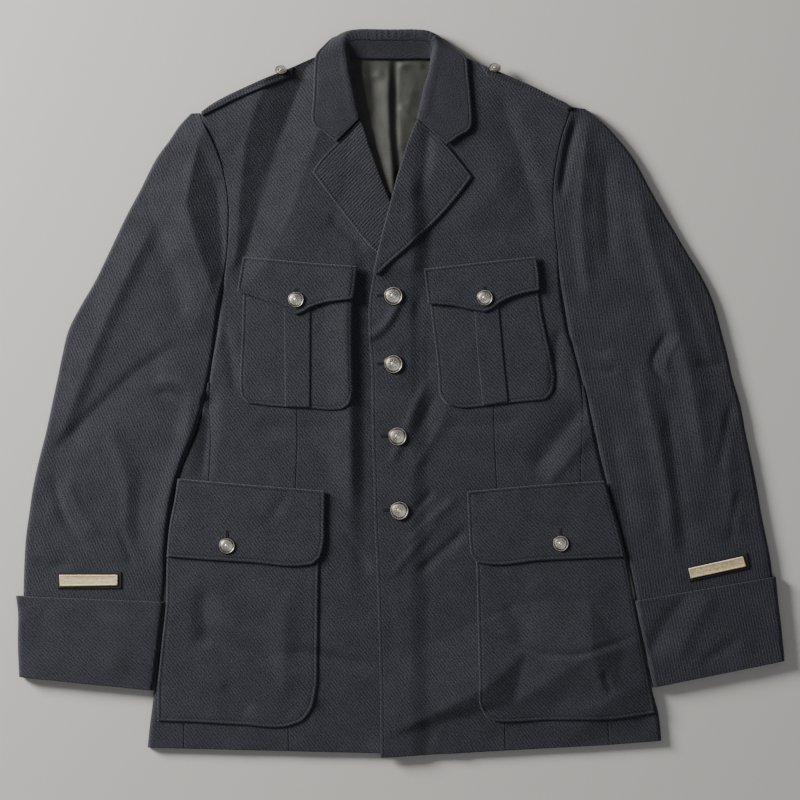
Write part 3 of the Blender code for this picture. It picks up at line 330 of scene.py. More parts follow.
BODY_LEFT_FOLDS = [
    # name, path, half width on the left and right of the path, rise
    ("front_crease", [(-65, 27), (-32, 46), (-15, 56), (1, 75), (21, 122)], 9, 13, -4.2),
    ("front_crease_lip", [(-59, 50), (-32, 61), (-18, 70), (-6, 88), (4, 115)], 6, 7, 1.8),
    ("front_hollow", [(22, 111), (9, 57), (13, -12)], 13, 8, -3.7),
    ("button_line_1", [(32, 20), (8, -34), (-13, -83)], 6, 5, 1.4),
    ("button_line_2", [(43, 7), (22, -34), (-2, -79)], 8, 5, -1.4),
    ("button_line_3", [(56, -6), (36, -49), (8, -92)], 7, 6, 1),
    ("button_line_4", [(40, -103), (19, -123), (0, -144)], 4, 5, -1.4),
    ("button_line_5", [(67, -109), (34, -137), (4, -166)], 6, 5, 1.4),
    ("button_line_6", [(75, -144), (45, -171), (15, -198)], 8, 5, -1.8),
    ("button_line_7", [(47, -135), (21, -161), (-13, -202)], 5, 5, 1.2),
    ("waist_valley", [(205, -6), (162, -61), (138, -88)], 11, 18, -3.3),
    ("waist_lip", [(209, -40), (179, -75), (153, -103)], 8, 8, 1.4),
    ("flap_crease", [(67, -99), (120, -129), (161, -144), (196, -155)], 7, 7, -2.1),
    ("pocket_crease", [(75, -255), (136, -278), (173, -283), (203, -280), (268, -258)], 5, 4, -1.6),
    ("pocket_small", [(217, -299), (222, -312), (229, -328)], 5, 4, -2),
    ("pocket_swell", [(129, -208), (183, -213), (229, -224)], 23, 22, 1.2),
    ("pocket_hollow", [(112, -224), (128, -251), (128, -278)], 13, 11, -1.4),
    ("armhole_hollow", [(103, 333), (124, 273), (140, 219), (152, 162)], 14, 27, -2.9),
    ("chest_swell", [(129, 262), (97, 214), (59, 174)], 23, 23, 1.3),
    ("underarm", [(175, 76), (168, 46), (168, -4)], 9, 8, -1.8),
    ("hem_wave", [(34, -370), (54, -384), (67, -394)], 9, 9, 1.3),
    ("front_edge_wave_1", [(-18, -213), (-9, -251), (-13, -297)], 9, 9, -1.1),
    ("below_pocket", [(43, -38), (86, -34), (140, -27)], 11, 13, -1.1),
    ("lapel_shade", [(32, 295), (27, 246), (17, 195)], 8, 10, -2),
]
SLEEVE_RIGHT_FOLDS = [
    # name, path, half width on the left and right of the path, rise
    ("front_break", [(-255, 202), (-292, 133), (-322, 68), (-349, -2), (-378, -73)], 11, 23, 2.7),
    ("upper_shade", [(-268, 195), (-247, 141), (-231, 76)], 14, 16, -1.1),
    ("elbow_crease", [(-227, 61), (-286, 22), (-339, -29), (-385, -75)], 18, 8, -1.9),
    ("pucker_1", [(-268, 14), (-238, 9), (-214, -4), (-201, -19)], 6, 4, 2.3),
    ("pucker_2", [(-270, 1), (-237, -4), (-212, -23)], 5, 6, -2.1),
    ("inner_ridge", [(-223, 18), (-231, -51), (-251, -116), (-264, -208)], 22, 13, 3.4),
    ("lower_crease", [(-376, -83), (-367, -122), (-355, -148), (-333, -176)], 5, 8, -1.9),
    ("lower_lip", [(-361, -86), (-352, -116), (-337, -140), (-322, -159)], 7, 6, 1),
    ("small_crease", [(-305, -144), (-296, -167), (-288, -189)], 4, 4, -1.2),
    ("forearm_ridge", [(-320, -25), (-295, -92), (-298, -164)], 14, 11, 1.6),
    ("forearm_hollow", [(-279, -73), (-283, -127), (-283, -176)], 11, 11, -1.2),
    ("wrist_1", [(-398, -181), (-376, -187), (-352, -182)], 6, 6, -0.9),
]
SLEEVE_LEFT_FOLDS = [
    # name, path, half width on the left and right of the path, rise
    ("head_dimple", [(192, 303), (181, 262), (173, 208)], 7, 5, -3),
    ("head_ridge", [(205, 310), (198, 251), (196, 176), (205, 89)], 11, 9, 2.1),
    ("head_trough", [(222, 266), (223, 208), (227, 135)], 13, 11, -2.3),
    ("upper_ridge", [(248, 262), (265, 180), (281, 127), (297, 76), (314, 12), (327, -62),
     (331, -116)], 22, 14, 3.4),
    ("pucker_1", [(293, 70), (277, 44), (274, 27), (293, 5)], 4, 5, -2),
    ("pucker_2", [(304, 63), (289, 40), (287, 20)], 4, 4, 1.2),
    ("elbow_crease", [(354, 34), (339, 29), (317, 31)], 5, 7, -1.2),
    ("elbow_ridge", [(255, 46), (266, -6), (276, -42), (290, -107), (296, -181)], 14, 11, 2.6),
    ("arm_trough", [(285, 9), (293, -51), (302, -127), (313, -194)], 11, 11, -2),
    ("outer_dent", [(359, -6), (350, -49), (345, -88)], 7, 6, -1.5),
    ("wrist_dent", [(367, -103), (360, -132), (357, -164)], 6, 5, -1.2),
    ("outer_ridge", [(341, 1), (354, -83), (365, -164)], 13, 11, 1.4),
    ("inner_pull_1", [(185, 59), (205, 46), (229, 44)], 5, 6, -1.4),
    ("inner_pull_2", [(194, 29), (216, 22), (239, 27)], 5, 6, -1.1),
    ("inner_shade", [(222, -8), (235, -83), (250, -159)], 13, 13, -1.3),
    ("outer_break", [(283, 169), (309, 117), (328, 68), (341, 22)], 9, 9, 1.3),
]
CUFF_RIGHT_FOLDS = [
    # name, path, half width on the left and right of the path, rise
    ("cuff_hollow", [(-400, -237), (-367, -267), (-335, -278)], 14, 14, -1.2),
    ("cuff_swell", [(-303, -237), (-305, -267), (-307, -306)], 18, 18, 0.9),
]
CUFF_LEFT_FOLDS = [
    # name, path, half width on the left and right of the path, rise
    ("cuff_valley", [(317, -209), (283, -254), (265, -293)], 14, 12, -2.2),
    ("cuff_lip", [(343, -211), (317, -248), (298, -293)], 12, 12, 1.4),
    ("cuff_small", [(369, -265), (347, -278), (322, -296)], 8, 8, -1.3),
]
# The left hem is creased into flat facets: corner points with their rise, and the edges between.
HEM_CORNERS = [
    # x, y, rise
    (-13, -372, 0.4), (45, -342, 3.2), (93, -318, 4.4), (136, -278, 1.4), (121, -336, 0.8),
    (206, -282, 5), (5, -367, 0.2), (129, -356, 0), (174, -333, 0.6), (243, -278, 1),
    (229, -330, 2.6), (153, -361, 0.1), (-35, -356, 0), (-35, -317, 0), (21, -276, 0),
    (84, -254, 0.4), (140, -224, 0), (205, -222, 0), (270, -243, 0), (278, -310, 0),
    (259, -362, 0), (173, -384, 0), (86, -382, 0), (5, -392, 0),
]
HEM_EDGES = [
    (0, 1), (1, 2), (2, 3), (3, 4), (4, 5), (3, 5), (6, 4), (0, 6), (4, 7),
    (7, 8), (8, 5), (10, 11), (5, 10), (7, 11), (12, 13), (13, 14), (14, 15), (15, 16),
    (16, 17), (17, 18), (18, 19), (19, 20), (20, 21), (21, 22), (22, 23), (23, 12),
]

# The right chest falls steeply into a long valley and rises again to the lapel.
CHEST_CORNERS = [
    # x, y, rise
    (-201, 305, 0), (-188, 241, 0), (-185, 176, 0), (-182, 127, 0), (-102, 351, -5.5),
    (-129, 278, -4.6), (-153, 203, -3.8), (-167, 149, -2.8), (-171, 109, 0), (-52, 316, 0),
    (-60, 219, 0), (-97, 138, 0), (-143, 95, 0), (-169, 331, 0), (-76, 370, 0),
    (-126, 362, 0), (-143, 342, 2.2), (-166, 278, 2.2), (-174, 208, 1.6), (-176, 160, 1),
    (-69, 338, 2.2), (-95, 262, 2.2), (-119, 192, 1.8), (-143, 141, 1),
]
CHEST_EDGES = [
    (4, 5), (5, 6), (6, 7), (7, 8), (16, 17), (17, 18), (18, 19), (20, 21), (21, 22),
    (22, 23), (0, 1), (1, 2), (2, 3), (3, 8), (8, 12), (12, 11), (11, 10), (10, 9),
    (9, 14), (14, 15), (15, 13), (13, 0),
]

# The head of the right sleeve: a ridge that falls steeply to a trough beside the armhole.
HEAD_CORNERS = [
    # x, y, rise
    (-270, 262, 0), (-231, 297, 0), (-202, 303, 0), (-187, 241, 0), (-185, 176, 0),
    (-186, 111, 0), (-188, 62, 0), (-227, 62, 0), (-259, 143, 0), (-275, 219, 0),
    (-218, 271, 3.2), (-236, 238, 2.4), (-231, 206, 6), (-220, 163, 6.4), (-205, 116, 4.6),
    (-195, 83, 1.2), (-198, 219, -1.6), (-193, 165, -1.8), (-190, 122, -0.9),
]
HEAD_EDGES = [
    (10, 12), (11, 12), (12, 13), (13, 14), (14, 15), (16, 17), (17, 18), (0, 1), (1, 2),
    (2, 3), (3, 4), (4, 5), (5, 6), (6, 7), (7, 8), (8, 9), (9, 0),
]


# %% [markdown]
# ## From a path to a surface
#
# A crease is not modelled as a shape of its own. Its table row is read as a field: for any point
# on the jacket, how far is the nearest place on the path, on which side of it, and how far along?
# The rise falls off straight with that distance, rounded a little at the line, and it fades out
# towards both ends. All the fields are added up with a slight unevenness, so that every piece made
# from the same field, such as a pocket on a panel, follows it by itself.

# %% Distances to a path
def hermite(a, b, slope_a, slope_b, t):
    """Points on the smooth curve from a to b that leaves and arrives with the given slopes."""
    return ((2 * t ** 3 - 3 * t ** 2 + 1) * a + (t ** 3 - 2 * t ** 2 + t) * slope_a
            + (3 * t ** 2 - 2 * t ** 3) * b + (t ** 3 - t ** 2) * slope_b)


def curve(path, parts=4):
    """Points set closer together on a smooth curve through a path or a table's rows."""
    path = np.array(path, float)
    last = len(path) - 1
    fine = []
    for i in range(last):
        a, b, c, d = path[max(i - 1, 0)], path[i], path[i + 1], path[min(i + 2, last)]
        count = parts if np.isscalar(parts) else parts[i]
        t = (np.arange(count) / count)[:, None]
        fine.append(0.5 * (2 * b + (c - a) * t + (2 * a - 5 * b + 4 * c - d) * t ** 2
                           + (3 * b - a - 3 * c + d) * t ** 3))
    return np.vstack(fine + [path[-1:]])


def nearest(path, x, y):
    """For each point: distance to a path, the side it lies on, and its place along the path."""
    path = np.asarray(path, float)
    x, y = np.asarray(x, float), np.asarray(y, float)
    runs = np.hypot(*np.diff(path, axis=0).T)
    best, side, along = np.full(x.shape, 1e9), np.zeros(x.shape), np.zeros(x.shape)
    begun = 0.0
    for (ax, ay), (bx, by), run in zip(path[:-1], path[1:], runs):
        ux, uy = (bx - ax) / max(run, 1e-9), (by - ay) / max(run, 1e-9)
        t = np.clip((x - ax) * ux + (y - ay) * uy, 0.0, run)
        away = np.hypot(x - ax - ux * t, y - ay - uy * t)
        near = away < best
        best = np.where(near, away, best)
        side = np.where(near, np.sign(ux * (y - ay) - uy * (x - ax)), side)
        along = np.where(near, begun + t, along)
        begun += run
    return best, side, along, begun


def creases(table, x, y):
    """Sum of a table's rises at each point."""
    total = np.zeros(np.shape(x))
    for _, path, left, right, rise in table:
        away, side, along, length = nearest(curve(path, 3), x, y)
        width = np.where(side > 0, left, right)
        share = along / length
        fade = ease(0.0, 0.22, share) * ease(1.0, 0.78, share)
        down = 1.0 - (np.sqrt(away ** 2 + CREASE_EDGE ** 2) - CREASE_EDGE) / width
        total += rise * fade * 0.5 * (down + np.sqrt(down ** 2 + CREASE_FOOT))
    return total


def facets(corners, edges):
    """Height over flat facets between corner points, their edges a little rounded."""
    made = delaunay_2d_cdt([Vector(c[:2]) for c in corners], edges, [], 0, 1e-4)
    spots = np.array([tuple(p) for p in made[0]])
    rises = np.array([corners[ids[0]][2] for ids in made[3]])

    def height(x, y):
        total = np.zeros(np.shape(x))
        for dx, dy in ((0, 0), (1, 0), (-1, 0), (0, 1), (0, -1)):
            px, py = np.asarray(x) + FACET_EDGE * dx, np.asarray(y) + FACET_EDGE * dy
            for a, b, c in made[2]:
                (ax, ay), (bx, by), (cx, cy) = spots[a], spots[b], spots[c]
                whole = (bx - ax) * (cy - ay) - (by - ay) * (cx - ax)
                u = ((bx - px) * (cy - py) - (by - py) * (cx - px)) / whole
                v = ((cx - px) * (ay - py) - (cy - py) * (ax - px)) / whole
                inner = (u >= 0.0) & (v >= 0.0) & (u + v < 1.0)
                total += inner * (rises[a] * u + rises[b] * v + rises[c] * (1.0 - u - v)) / 5.0
        return total
    return height


hem_facets = facets(HEM_CORNERS, HEM_EDGES)
chest_facets = facets(CHEST_CORNERS, CHEST_EDGES)
head_facets = facets(HEAD_CORNERS, HEAD_EDGES)


def above(low, height):
    """The height, held above a lower surface with a soft transition."""
    return low + 0.5 * (height - low + np.sqrt((height - low) ** 2 + 0.7))


def unevenness(x, y, size, seed):
    """The slight waviness of cloth that has been worn: about -1 to 1, waves about size across."""
    dice = np.random.default_rng(seed)
    total = np.zeros(np.shape(x))
    for _ in range(8):
        angle, phase = dice.uniform(0.0, math.pi), dice.uniform(0.0, 6.28)
        stretch = dice.uniform(0.7, 1.6)
        along = x * math.cos(angle) + y * math.sin(angle)
        across = y * math.cos(angle) - x * math.sin(angle)
        bend = 1.3 * np.sin(across * 6.28 / (2.3 * size) + 2.0 * phase)
        total += np.sin(along * 6.28 / (size * stretch) + phase + bend)
    return total / 4.5


def waves(x, y, *rows):
    """Unevenness of several sizes; a row is a size, a height and a seed."""
    return sum(height * unevenness(x, y, size, seed) for size, height, seed in rows)


def puckers(path, x, y, seed, reach=6.5, pitch=11.0):
    """Small ripples that a sewn line pulls into the cloth beside it."""
    away, side, along, _ = nearest(path, x, y)
    wander = unevenness(along, side * 40.0, 55.0, seed)
    beat = np.sin(along * 6.28 / pitch + 2.2 * wander + 0.7 * side)
    return bell(away, 0.0, reach) * beat * (0.55 + 0.45 * wander)


print("creases:", sum(len(t) for t in (BODY_RIGHT_FOLDS, BODY_LEFT_FOLDS, SLEEVE_RIGHT_FOLDS,
                                      SLEEVE_LEFT_FOLDS, CUFF_RIGHT_FOLDS, CUFF_LEFT_FOLDS)))

# %% [markdown]
# ## The height of each part
#
# The body is highest along the padded shoulder and flat below it. The left front rises once more
# where it lies on the right one. A sleeve is a flattened tube: it bows up between its two folded
# edges, and near the armhole it takes the height of the body that it is sewn to.

# %% Heights of the body
SIDE_SEAM_RIGHT = [row[0:2] for row in SIDE_RIGHT]
SIDE_SEAM_LEFT = [row[0:2] for row in SIDE_LEFT]
SIDE_FOLD_RIGHT = [row[2:4] for row in SIDE_RIGHT]
SIDE_FOLD_LEFT = [row[2:4] for row in SIDE_LEFT]
DART_RIGHT = [(-120, -397), (-121, -360), (-117, -224), (-113, -102), (-111, -51), (-111.5, -13)]
DART_LEFT = [(114, -397), (113, -355.5), (109, -224), (104.5, -102), (102, -51), (101, -13)]


def shoulder_line(x):
    """Where the fold along the shoulder lies, seen from above."""
    return np.where(x < -63.0, 375.5 + 0.433 * (x + 63.0),
                    np.where(x > 39.5, 375.5 - 0.397 * (x - 39.5), 375.5))


def body_top(x, y):
    """Top of the laid body above the floor, without its creases."""
    return LOFT + SHOULDER_RISE * ease(120.0, 15.0, shoulder_line(x) - y)


def lap(x, y):
    """Rise of the left front where it lies on the right front and its lapel."""
    rise = LAP + LAPEL_LAP * ease(118.0, 140.0, y)
    return rise * ease(32.0, 10.0, x) * (1.0 - ease(212.0, 250.0, y))


def fold_fall(path, x, y, height, reach=EDGE_ROLL):
    """How far the surface has gone down near a folded side edge."""
    away = nearest(path, x, y)[0]
    share = np.clip((reach - away) / reach, 0.0, 1.0)
    return 0.58 * height * (1.0 - np.sqrt(1.0 - share ** 2))


def pressed(x, y):
    """Share of the creases that is left where a button holds the cloth."""
    spots = [*FRONT_BUTTONS.values(), *POCKET_BUTTONS.values()]
    away = np.min([np.hypot(x - bx, y - by) for bx, by in spots], axis=0)
    return ease(5.0, 15.0, away)


def body_surface(x, y, side):
    """Top of the dressed front and side panel, with every crease."""
    left = side == "left"
    table = BODY_LEFT_FOLDS if left else BODY_RIGHT_FOLDS
    live = creases(table, x, y) * (0.15 + 0.85 * pressed(x, y))
    facet = HEM_RISE * hem_facets(x, y) if left else chest_facets(x, y)
    high = body_top(x, y) + live + facet
    if left:
        overlap = ease(30.0, 8.0, x)
        high = above(body_top(x, y) - 0.6, high) * overlap + high * (1.0 - overlap) + lap(x, y)
    else:
        high = high - (EDGE_SINK * ease(-56.0, -37.0, x) * ease(172.0, 122.0, y)
                       * ease(-260.0, -110.0, y))
    dart, seam = (DART_LEFT, SIDE_SEAM_LEFT) if left else (DART_RIGHT, SIDE_SEAM_RIGHT)
    sewn = puckers(dart, x, y, 31 + left) + puckers(seam, x, y, 41 + left)
    worn = waves(x, y, (62.0, 0.30, 11 + left), (19.0, 0.09, 21 + left))
    return above(LOWEST, high) + worn + 0.16 * sewn


def laid_surface(x, y, side):
    """The same, as far as it goes down to the folded side edge: what a pocket lies on."""
    high = body_surface(x, y, side)
    return high - fold_fall(SIDE_FOLD_LEFT if side == "left" else SIDE_FOLD_RIGHT, x, y, high)


# %% Heights of the sleeves
def sleeve_surface(side):
    """Height of a sleeve's top at a point, from its share of the way across the row."""
    rows = SLEEVE_LEFT if side == "left" else SLEEVE_RIGHT
    table = SLEEVE_LEFT_FOLDS if side == "left" else SLEEVE_RIGHT_FOLDS
    ys, xs = np.array([r[1] for r in rows], float), np.array([r[0] for r in rows], float)
    cuff_edge = -196.0 if side == "left" else -214.0
    slope = 0.165 if side == "left" else -0.035

    def height(x, y, share):
        share = np.clip(share, 0.0, 1.0)
        edge = np.interp(y, ys, xs)
        bow = np.sin(math.pi * share) ** 0.6
        crown = LOFT - 0.3 + (SLEEVE_LOFT - LOFT + 0.3) * bow
        crown = crown + 0.6 * SHOULDER_RISE * ease(120.0, 15.0, shoulder_line(edge) - y)
        near = ease(60.0, 130.0, y) * (1.0 - ease(0.0, 0.45, share))
        joined = body_top(edge, y) + (lap(edge, y) if side == "left" else 0.0)
        crown = crown + (joined - crown) * near
        bare = ease(-2.0, 14.0, y - (cuff_edge + slope * (np.abs(x) - 330.0)))
        live = creases(table, x, y) + waves(x, y, (48.0, 0.30, 51), (16.0, 0.08, 52))
        live = live + (head_facets(x, y) if side == "right" else 0.0)
        return above(LOWEST, crown + live * (0.12 + 0.88 * bare))
    return height


# %% [markdown]
# ## A panel as a shell
#
# A panel is cut from one layer, so it becomes a closed thin shell: an outer grid of points, an
# inner grid below it, and a rim between them. Solidify could give the wall, but not the two kinds
# of edge that a jacket has. A seam edge is cut and turned in, which reads as a small rounded step;
# a side edge is the cloth itself folded over and down to the table. Both are drawn here as a
# section, and the table says how much of each a row has.

# %% Rows closer together
def flow(table, step):
    """A table's rows set about step apart on smooth curves, with close rows for the end hems."""
    rows = np.array(table, float)
    gaps = 0.5 * (np.hypot(np.diff(rows[:, 0]), np.diff(rows[:, 1]))
                  + np.hypot(np.diff(rows[:, 2]), np.diff(rows[:, 3])))
    fine = curve(rows, [max(1, int(round(gap / step))) for gap in gaps])
    fine[:, 4:] = np.clip(fine[:, 4:], 0.0, 1.0)
    ends = []
    for near, next_row in ((fine[0], fine[1]), (fine[-1], fine[-2])):
        gap = np.hypot(*(next_row[:2] - near[:2]))
        ends.append([near + (next_row - near) * min(0.9, far / gap) for far in (0.25, 0.7, 1.4)])
    fine = np.vstack([fine[:1], ends[0], fine[1:-1], ends[1][::-1], fine[-1:]])
    middle = 0.5 * (fine[:, 0:2] + fine[:, 2:4])
    along = np.concatenate(([0.0], np.cumsum(np.hypot(*np.diff(middle, axis=0).T))))
    return fine, np.minimum(along, along[-1] - along)


def rim_drop(away, radius):
    """How far the top of a cut edge has rounded down, at a distance in from the edge."""
    share = np.clip((radius - away) / radius, 0.0, 1.0)
    return radius * (1.0 - np.sqrt(1.0 - share ** 2))


# %% The two kinds of edge
FOLD_ANGLES = np.radians([90.0, 70.0, 50.0, 30.0, 10.0, -15.0, -45.0, -80.0])
CUT_ANGLES = np.radians([90.0, 66.0, 42.0, 20.0, 0.0])


def fold_profile(height, reach, wall):
    """Distance in from the edge and height of cloth that is folded down to the floor."""
    upper = FOLD_ANGLES >= 0.0
    bend = np.where(upper, max(reach - wall, 0.3), max(2.4 - wall, 0.3))
    away = wall + bend * (1.0 - np.cos(FOLD_ANGLES))
    centre = 0.42 * height[:, None]
    rise = np.where(upper, 0.58 * height[:, None] - wall, 0.42 * height[:, None])
    return away[None, :] + 0.0 * centre, centre + rise * np.sin(FOLD_ANGLES)


def cut_profile(height, radius, depth):
    """The same for a cut edge: rounded over, then straight down by the wall."""
    away = np.concatenate((radius * (1.0 - np.cos(CUT_ANGLES)), [0.0, 0.0, 0.0]))
    down = np.concatenate((radius * (1.0 - np.sin(CUT_ANGLES)),
                           radius + (depth - radius) * np.array((0.35, 0.7, 0.95))))
    return away[None, :] + 0.0 * height[:, None], height[:, None] - down


def edge_columns(height, turn, reach, wall, cloth):
    """One edge of a panel for every row, blended from cut to folded by the turned share."""
    turn = turn[:, None]
    if wall == 0.0:
        cut = cut_profile(height, 0.8, cloth)
    else:
        flat = np.linspace(1.1, 0.1, len(FOLD_ANGLES))
        cut = (flat[None, :] + 0.0 * height[:, None], height[:, None] - cloth + 0.0 * flat)
    fold = fold_profile(height, reach, wall)
    return [c + (f - c) * turn for c, f in zip(cut, fold)]


# %% One panel from its rows
def panel_grids(table, top, sides, step=2.6, cloth=CLOTH, reach=EDGE_ROLL, gap=0.06, loft=None):
    """Outer and inner grid of a panel, its flat pattern, and the distances from its edges."""
    rows, from_end = flow(table, step)
    start, finish = rows[:, 0:2], rows[:, 2:4]
    length = np.hypot(*(finish - start).T)
    run = (finish - start) / length[:, None]
    slim = np.minimum(1.0, 0.3 * length / reach)
    scale = np.ones(len(rows)) if loft is None else rows[:, loft]
    turns = [np.zeros(len(rows)) if side is None else rows[:, side] for side in sides]
    count = max(4, int(length.max() / step))
    layers = []
    for wall in (0.0, cloth):
        edges = []
        for end, turn in enumerate(turns):
            near = (reach * slim * turn + 0.8) / length
            share = near if end == 0 else 1.0 - near
            spot = start + run * (share * length)[:, None]
            height = top(spot[:, 0], spot[:, 1], share) * scale
            away, z = edge_columns(height, turn, reach, wall, cloth)
            away = away * slim[:, None] + gap
            edges.append((away[:, ::-1], z[:, ::-1]) if end == 0 else (length[:, None] - away, z))
        first, last = edges[0][0][:, -1:], edges[1][0][:, :1]
        share = np.linspace(0.0, 1.0, count + 2)[None, 1:-1]
        along = np.hstack((edges[0][0], first + (last - first) * share, edges[1][0]))
        x = start[:, 0:1] + run[:, 0:1] * along
        y = start[:, 1:2] + run[:, 1:2] * along
        z = top(x, y, along / length[:, None]) * scale[:, None] - wall
        width = edges[0][1].shape[1]
        z[:, :width], z[:, -width:] = edges[0][1], edges[1][1]
        layers.append(np.stack((x, y, z), -1))
        if wall == 0.0:
            shown = along
    outer, inner = layers
    outer[..., 2] -= rim_drop(from_end, 0.9)[:, None]
    steps = np.hypot(np.diff(shown, axis=1), np.diff(outer[..., 2], axis=1))
    spread = np.hstack((np.zeros((len(rows), 1)), np.cumsum(steps, axis=1)))
    centre = spread.shape[1] // 2
    spread += (shown[:, centre] - spread[:, centre])[:, None]
    pattern = start[:, None, :] + run[:, None, :] * spread[..., None]
    return outer, inner, pattern, (shown, length[:, None] - shown, from_end[:, None] + 0.0 * shown)


# %% [markdown]
# ## Grids into meshes
#
# Blender keeps a mesh as vertices and faces. The two grids of a shell become quads, outer faces
# looking out and inner faces looking in, and the rim closes them. The flat pattern is stored as a
# UV map in metres, turned to the grain of the cloth, so that the weave has its real size and runs
# along each piece as the cutter laid it. Distances from sewn edges are stored as attributes, and
# the material presses its stitch grooves from them.

# %% A mesh with its pattern and its stitch distances
FAR = 60.0


def mesh_piece(name, points, faces, smooth=True):
    """A mesh object through points in layout millimetres."""
    mesh = bpy.data.meshes.new(name)
    mesh.from_pydata(place(points).tolist(), [], faces)
    mesh.validate()
    mesh.polygons.foreach_set("use_smooth", np.full(len(mesh.polygons), smooth))
    piece = bpy.data.objects.new(name, mesh)
    bpy.context.collection.objects.link(piece)
    return piece


def dress(name, points, faces, pattern, grain, stitch=None, seam=None):
    """A smooth mesh object with its UV map and attributes; pattern is in layout millimetres."""
    piece = mesh_piece(name, points, faces)
    mesh, turn = piece.data, math.radians(grain)
    flat = np.asarray(pattern, float) * MM
    flat = np.stack((flat[:, 0] * math.cos(turn) + flat[:, 1] * math.sin(turn),
                     flat[:, 1] * math.cos(turn) - flat[:, 0] * math.sin(turn)), -1)
    corner = np.zeros(len(mesh.loops), int)
    mesh.loops.foreach_get("vertex_index", corner)
    mesh.uv_layers.new(name="weave").data.foreach_set("uv", flat[corner].ravel())
    # The wool darkens its colour from these two as painted shade, in the grooves and along cut edges.
    for key, values in (("stitch", stitch), ("seam", seam)):
        values = np.full(len(points), FAR) if values is None else np.clip(values, -FAR, FAR)
        mesh.attributes.new(key, "FLOAT", "POINT").data.foreach_set("value", values)
    return piece


def shell_faces(rows, columns, wrap=False):
    """Faces of a closed shell between two grids; with wrap the columns run round a tube."""
    index = np.arange(rows * columns).reshape(rows, columns)
    if wrap:
        index = np.hstack((index, index[:, :1]))
    a, b, c, d = index[:-1, :-1], index[:-1, 1:], index[1:, 1:], index[1:, :-1]
    top = np.stack((a, b, c, d), -1).reshape(-1, 4)
    low = top[:, ::-1] + rows * columns
    if wrap:
        rims = [index[0], index[-1][::-1]]
    else:
        rims = [np.concatenate((index[0], index[1:, -1], index[-1, -2::-1], index[-2::-1, 0]))]
    sides = [np.stack((ring[1:], ring[:-1], ring[:-1] + rows * columns, ring[1:] + rows * columns), -1)
             for ring in rims]
    return np.vstack([top, low] + sides)


def shell(name, outer, inner, pattern, grain, stitch=None, seam=None, wrap=False):
    """A closed shell through an outer and an inner grid, its faces outwards."""
    rows, columns = outer.shape[:2]
    faces = shell_faces(rows, columns, wrap)
    across = outer[rows // 2, columns // 2 + 1] - outer[rows // 2, columns // 2]
    down = outer[rows // 2 + 1, columns // 2] - outer[rows // 2, columns // 2]
    out = outer[rows // 2, columns // 2] - inner[rows // 2, columns // 2]
    if np.dot(np.cross(across, down), out) < 0.0:
        faces = faces[:, ::-1]
    double = lambda grid: None if grid is None else np.concatenate((grid.ravel(), grid.ravel()))
    flat = pattern.reshape(-1, 2)
    return dress(name, np.vstack((outer.reshape(-1, 3), inner.reshape(-1, 3))), faces.tolist(),
                 np.vstack((flat, flat)), grain, double(stitch), double(seam))


# %% [markdown]
# ## A piece cut to an outline
#
# Pockets, flaps and lapels have outlines that rows do not fit. Their outline is smoothed between
# its corners and filled with points, a few rings close to the edge and an even field inside, and
# a Delaunay triangulation joins them. Every point then takes the height of the panel below it, so
# the piece lies on the panel and repeats its creases. The rings give the rounded edge, the puffed
# welt outside the topstitching and the groove under the stitches.

# %% Outlines
def smooth_outline(points, step=1.5, corner=34.0):
    """An outline's points set closer together, curved between its corners."""
    points = np.array(points, float)
    count = len(points)
    before, after = points - np.roll(points, 1, 0), np.roll(points, -1, 0) - points
    bend = np.abs(np.degrees(np.arctan2(before[:, 0] * after[:, 1] - before[:, 1] * after[:, 0],
                                        (before * after).sum(1))))
    sharp = bend > corner
    fine = []
    for i in range(count):
        b, c = points[i], points[(i + 1) % count]
        a = 2 * b - c if sharp[i] else points[i - 1]
        d = 2 * c - b if sharp[(i + 1) % count] else points[(i + 2) % count]
        gap = max(np.hypot(*(c - b)), 1e-6)
        reach_a, reach_d = max(np.hypot(*(b - a)), 1e-6), max(np.hypot(*(d - c)), 1e-6)
        slope_b = ((c - b) / gap * reach_a + (b - a) / reach_a * gap) / (gap + reach_a) * gap
        slope_c = ((d - c) / reach_d * gap + (c - b) / gap * reach_d) / (gap + reach_d) * gap
        parts = max(1, int(round(gap / step)))
        t = (np.arange(parts) / parts)[:, None]
        fine.append(hermite(b, c, slope_b, slope_c, t))
    fine = np.vstack(fine)
    if (fine[:, 0] * np.roll(fine[:, 1], -1) - fine[:, 1] * np.roll(fine[:, 0], -1)).sum() < 0:
        fine = fine[::-1]
    return fine


def inside(points, outline):
    """Which points lie inside an outline."""
    x, y = points[:, 0:1], points[:, 1:2]
    ax, ay = outline[None, :, 0], outline[None, :, 1]
    bx, by = np.roll(outline[:, 0], -1)[None, :], np.roll(outline[:, 1], -1)[None, :]
    crosses = ((ay > y) != (by > y)) & (x < (bx - ax) * (y - ay) / (by - ay + 1e-12) + ax)
    return crosses.sum(1) % 2 == 1


def inset(outline, depth):
    """The outline moved inwards by a depth, without the points that would fold over."""
    ahead = np.roll(outline, -1, 0) - np.roll(outline, 1, 0)
    ahead /= np.hypot(*ahead.T)[:, None]
    moved = outline + depth * np.stack((-ahead[:, 1], ahead[:, 0]), -1)
    away = nearest(np.vstack((outline, outline[:1])), moved[:, 0], moved[:, 1])[0]
    return moved[(away > 0.94 * depth) & inside(moved, outline)]


# %% A piece from its outline
WELT_RINGS = (0.3, 0.8, 1.5, 2.3, 3.0, 3.6, 4.3, 5.4)


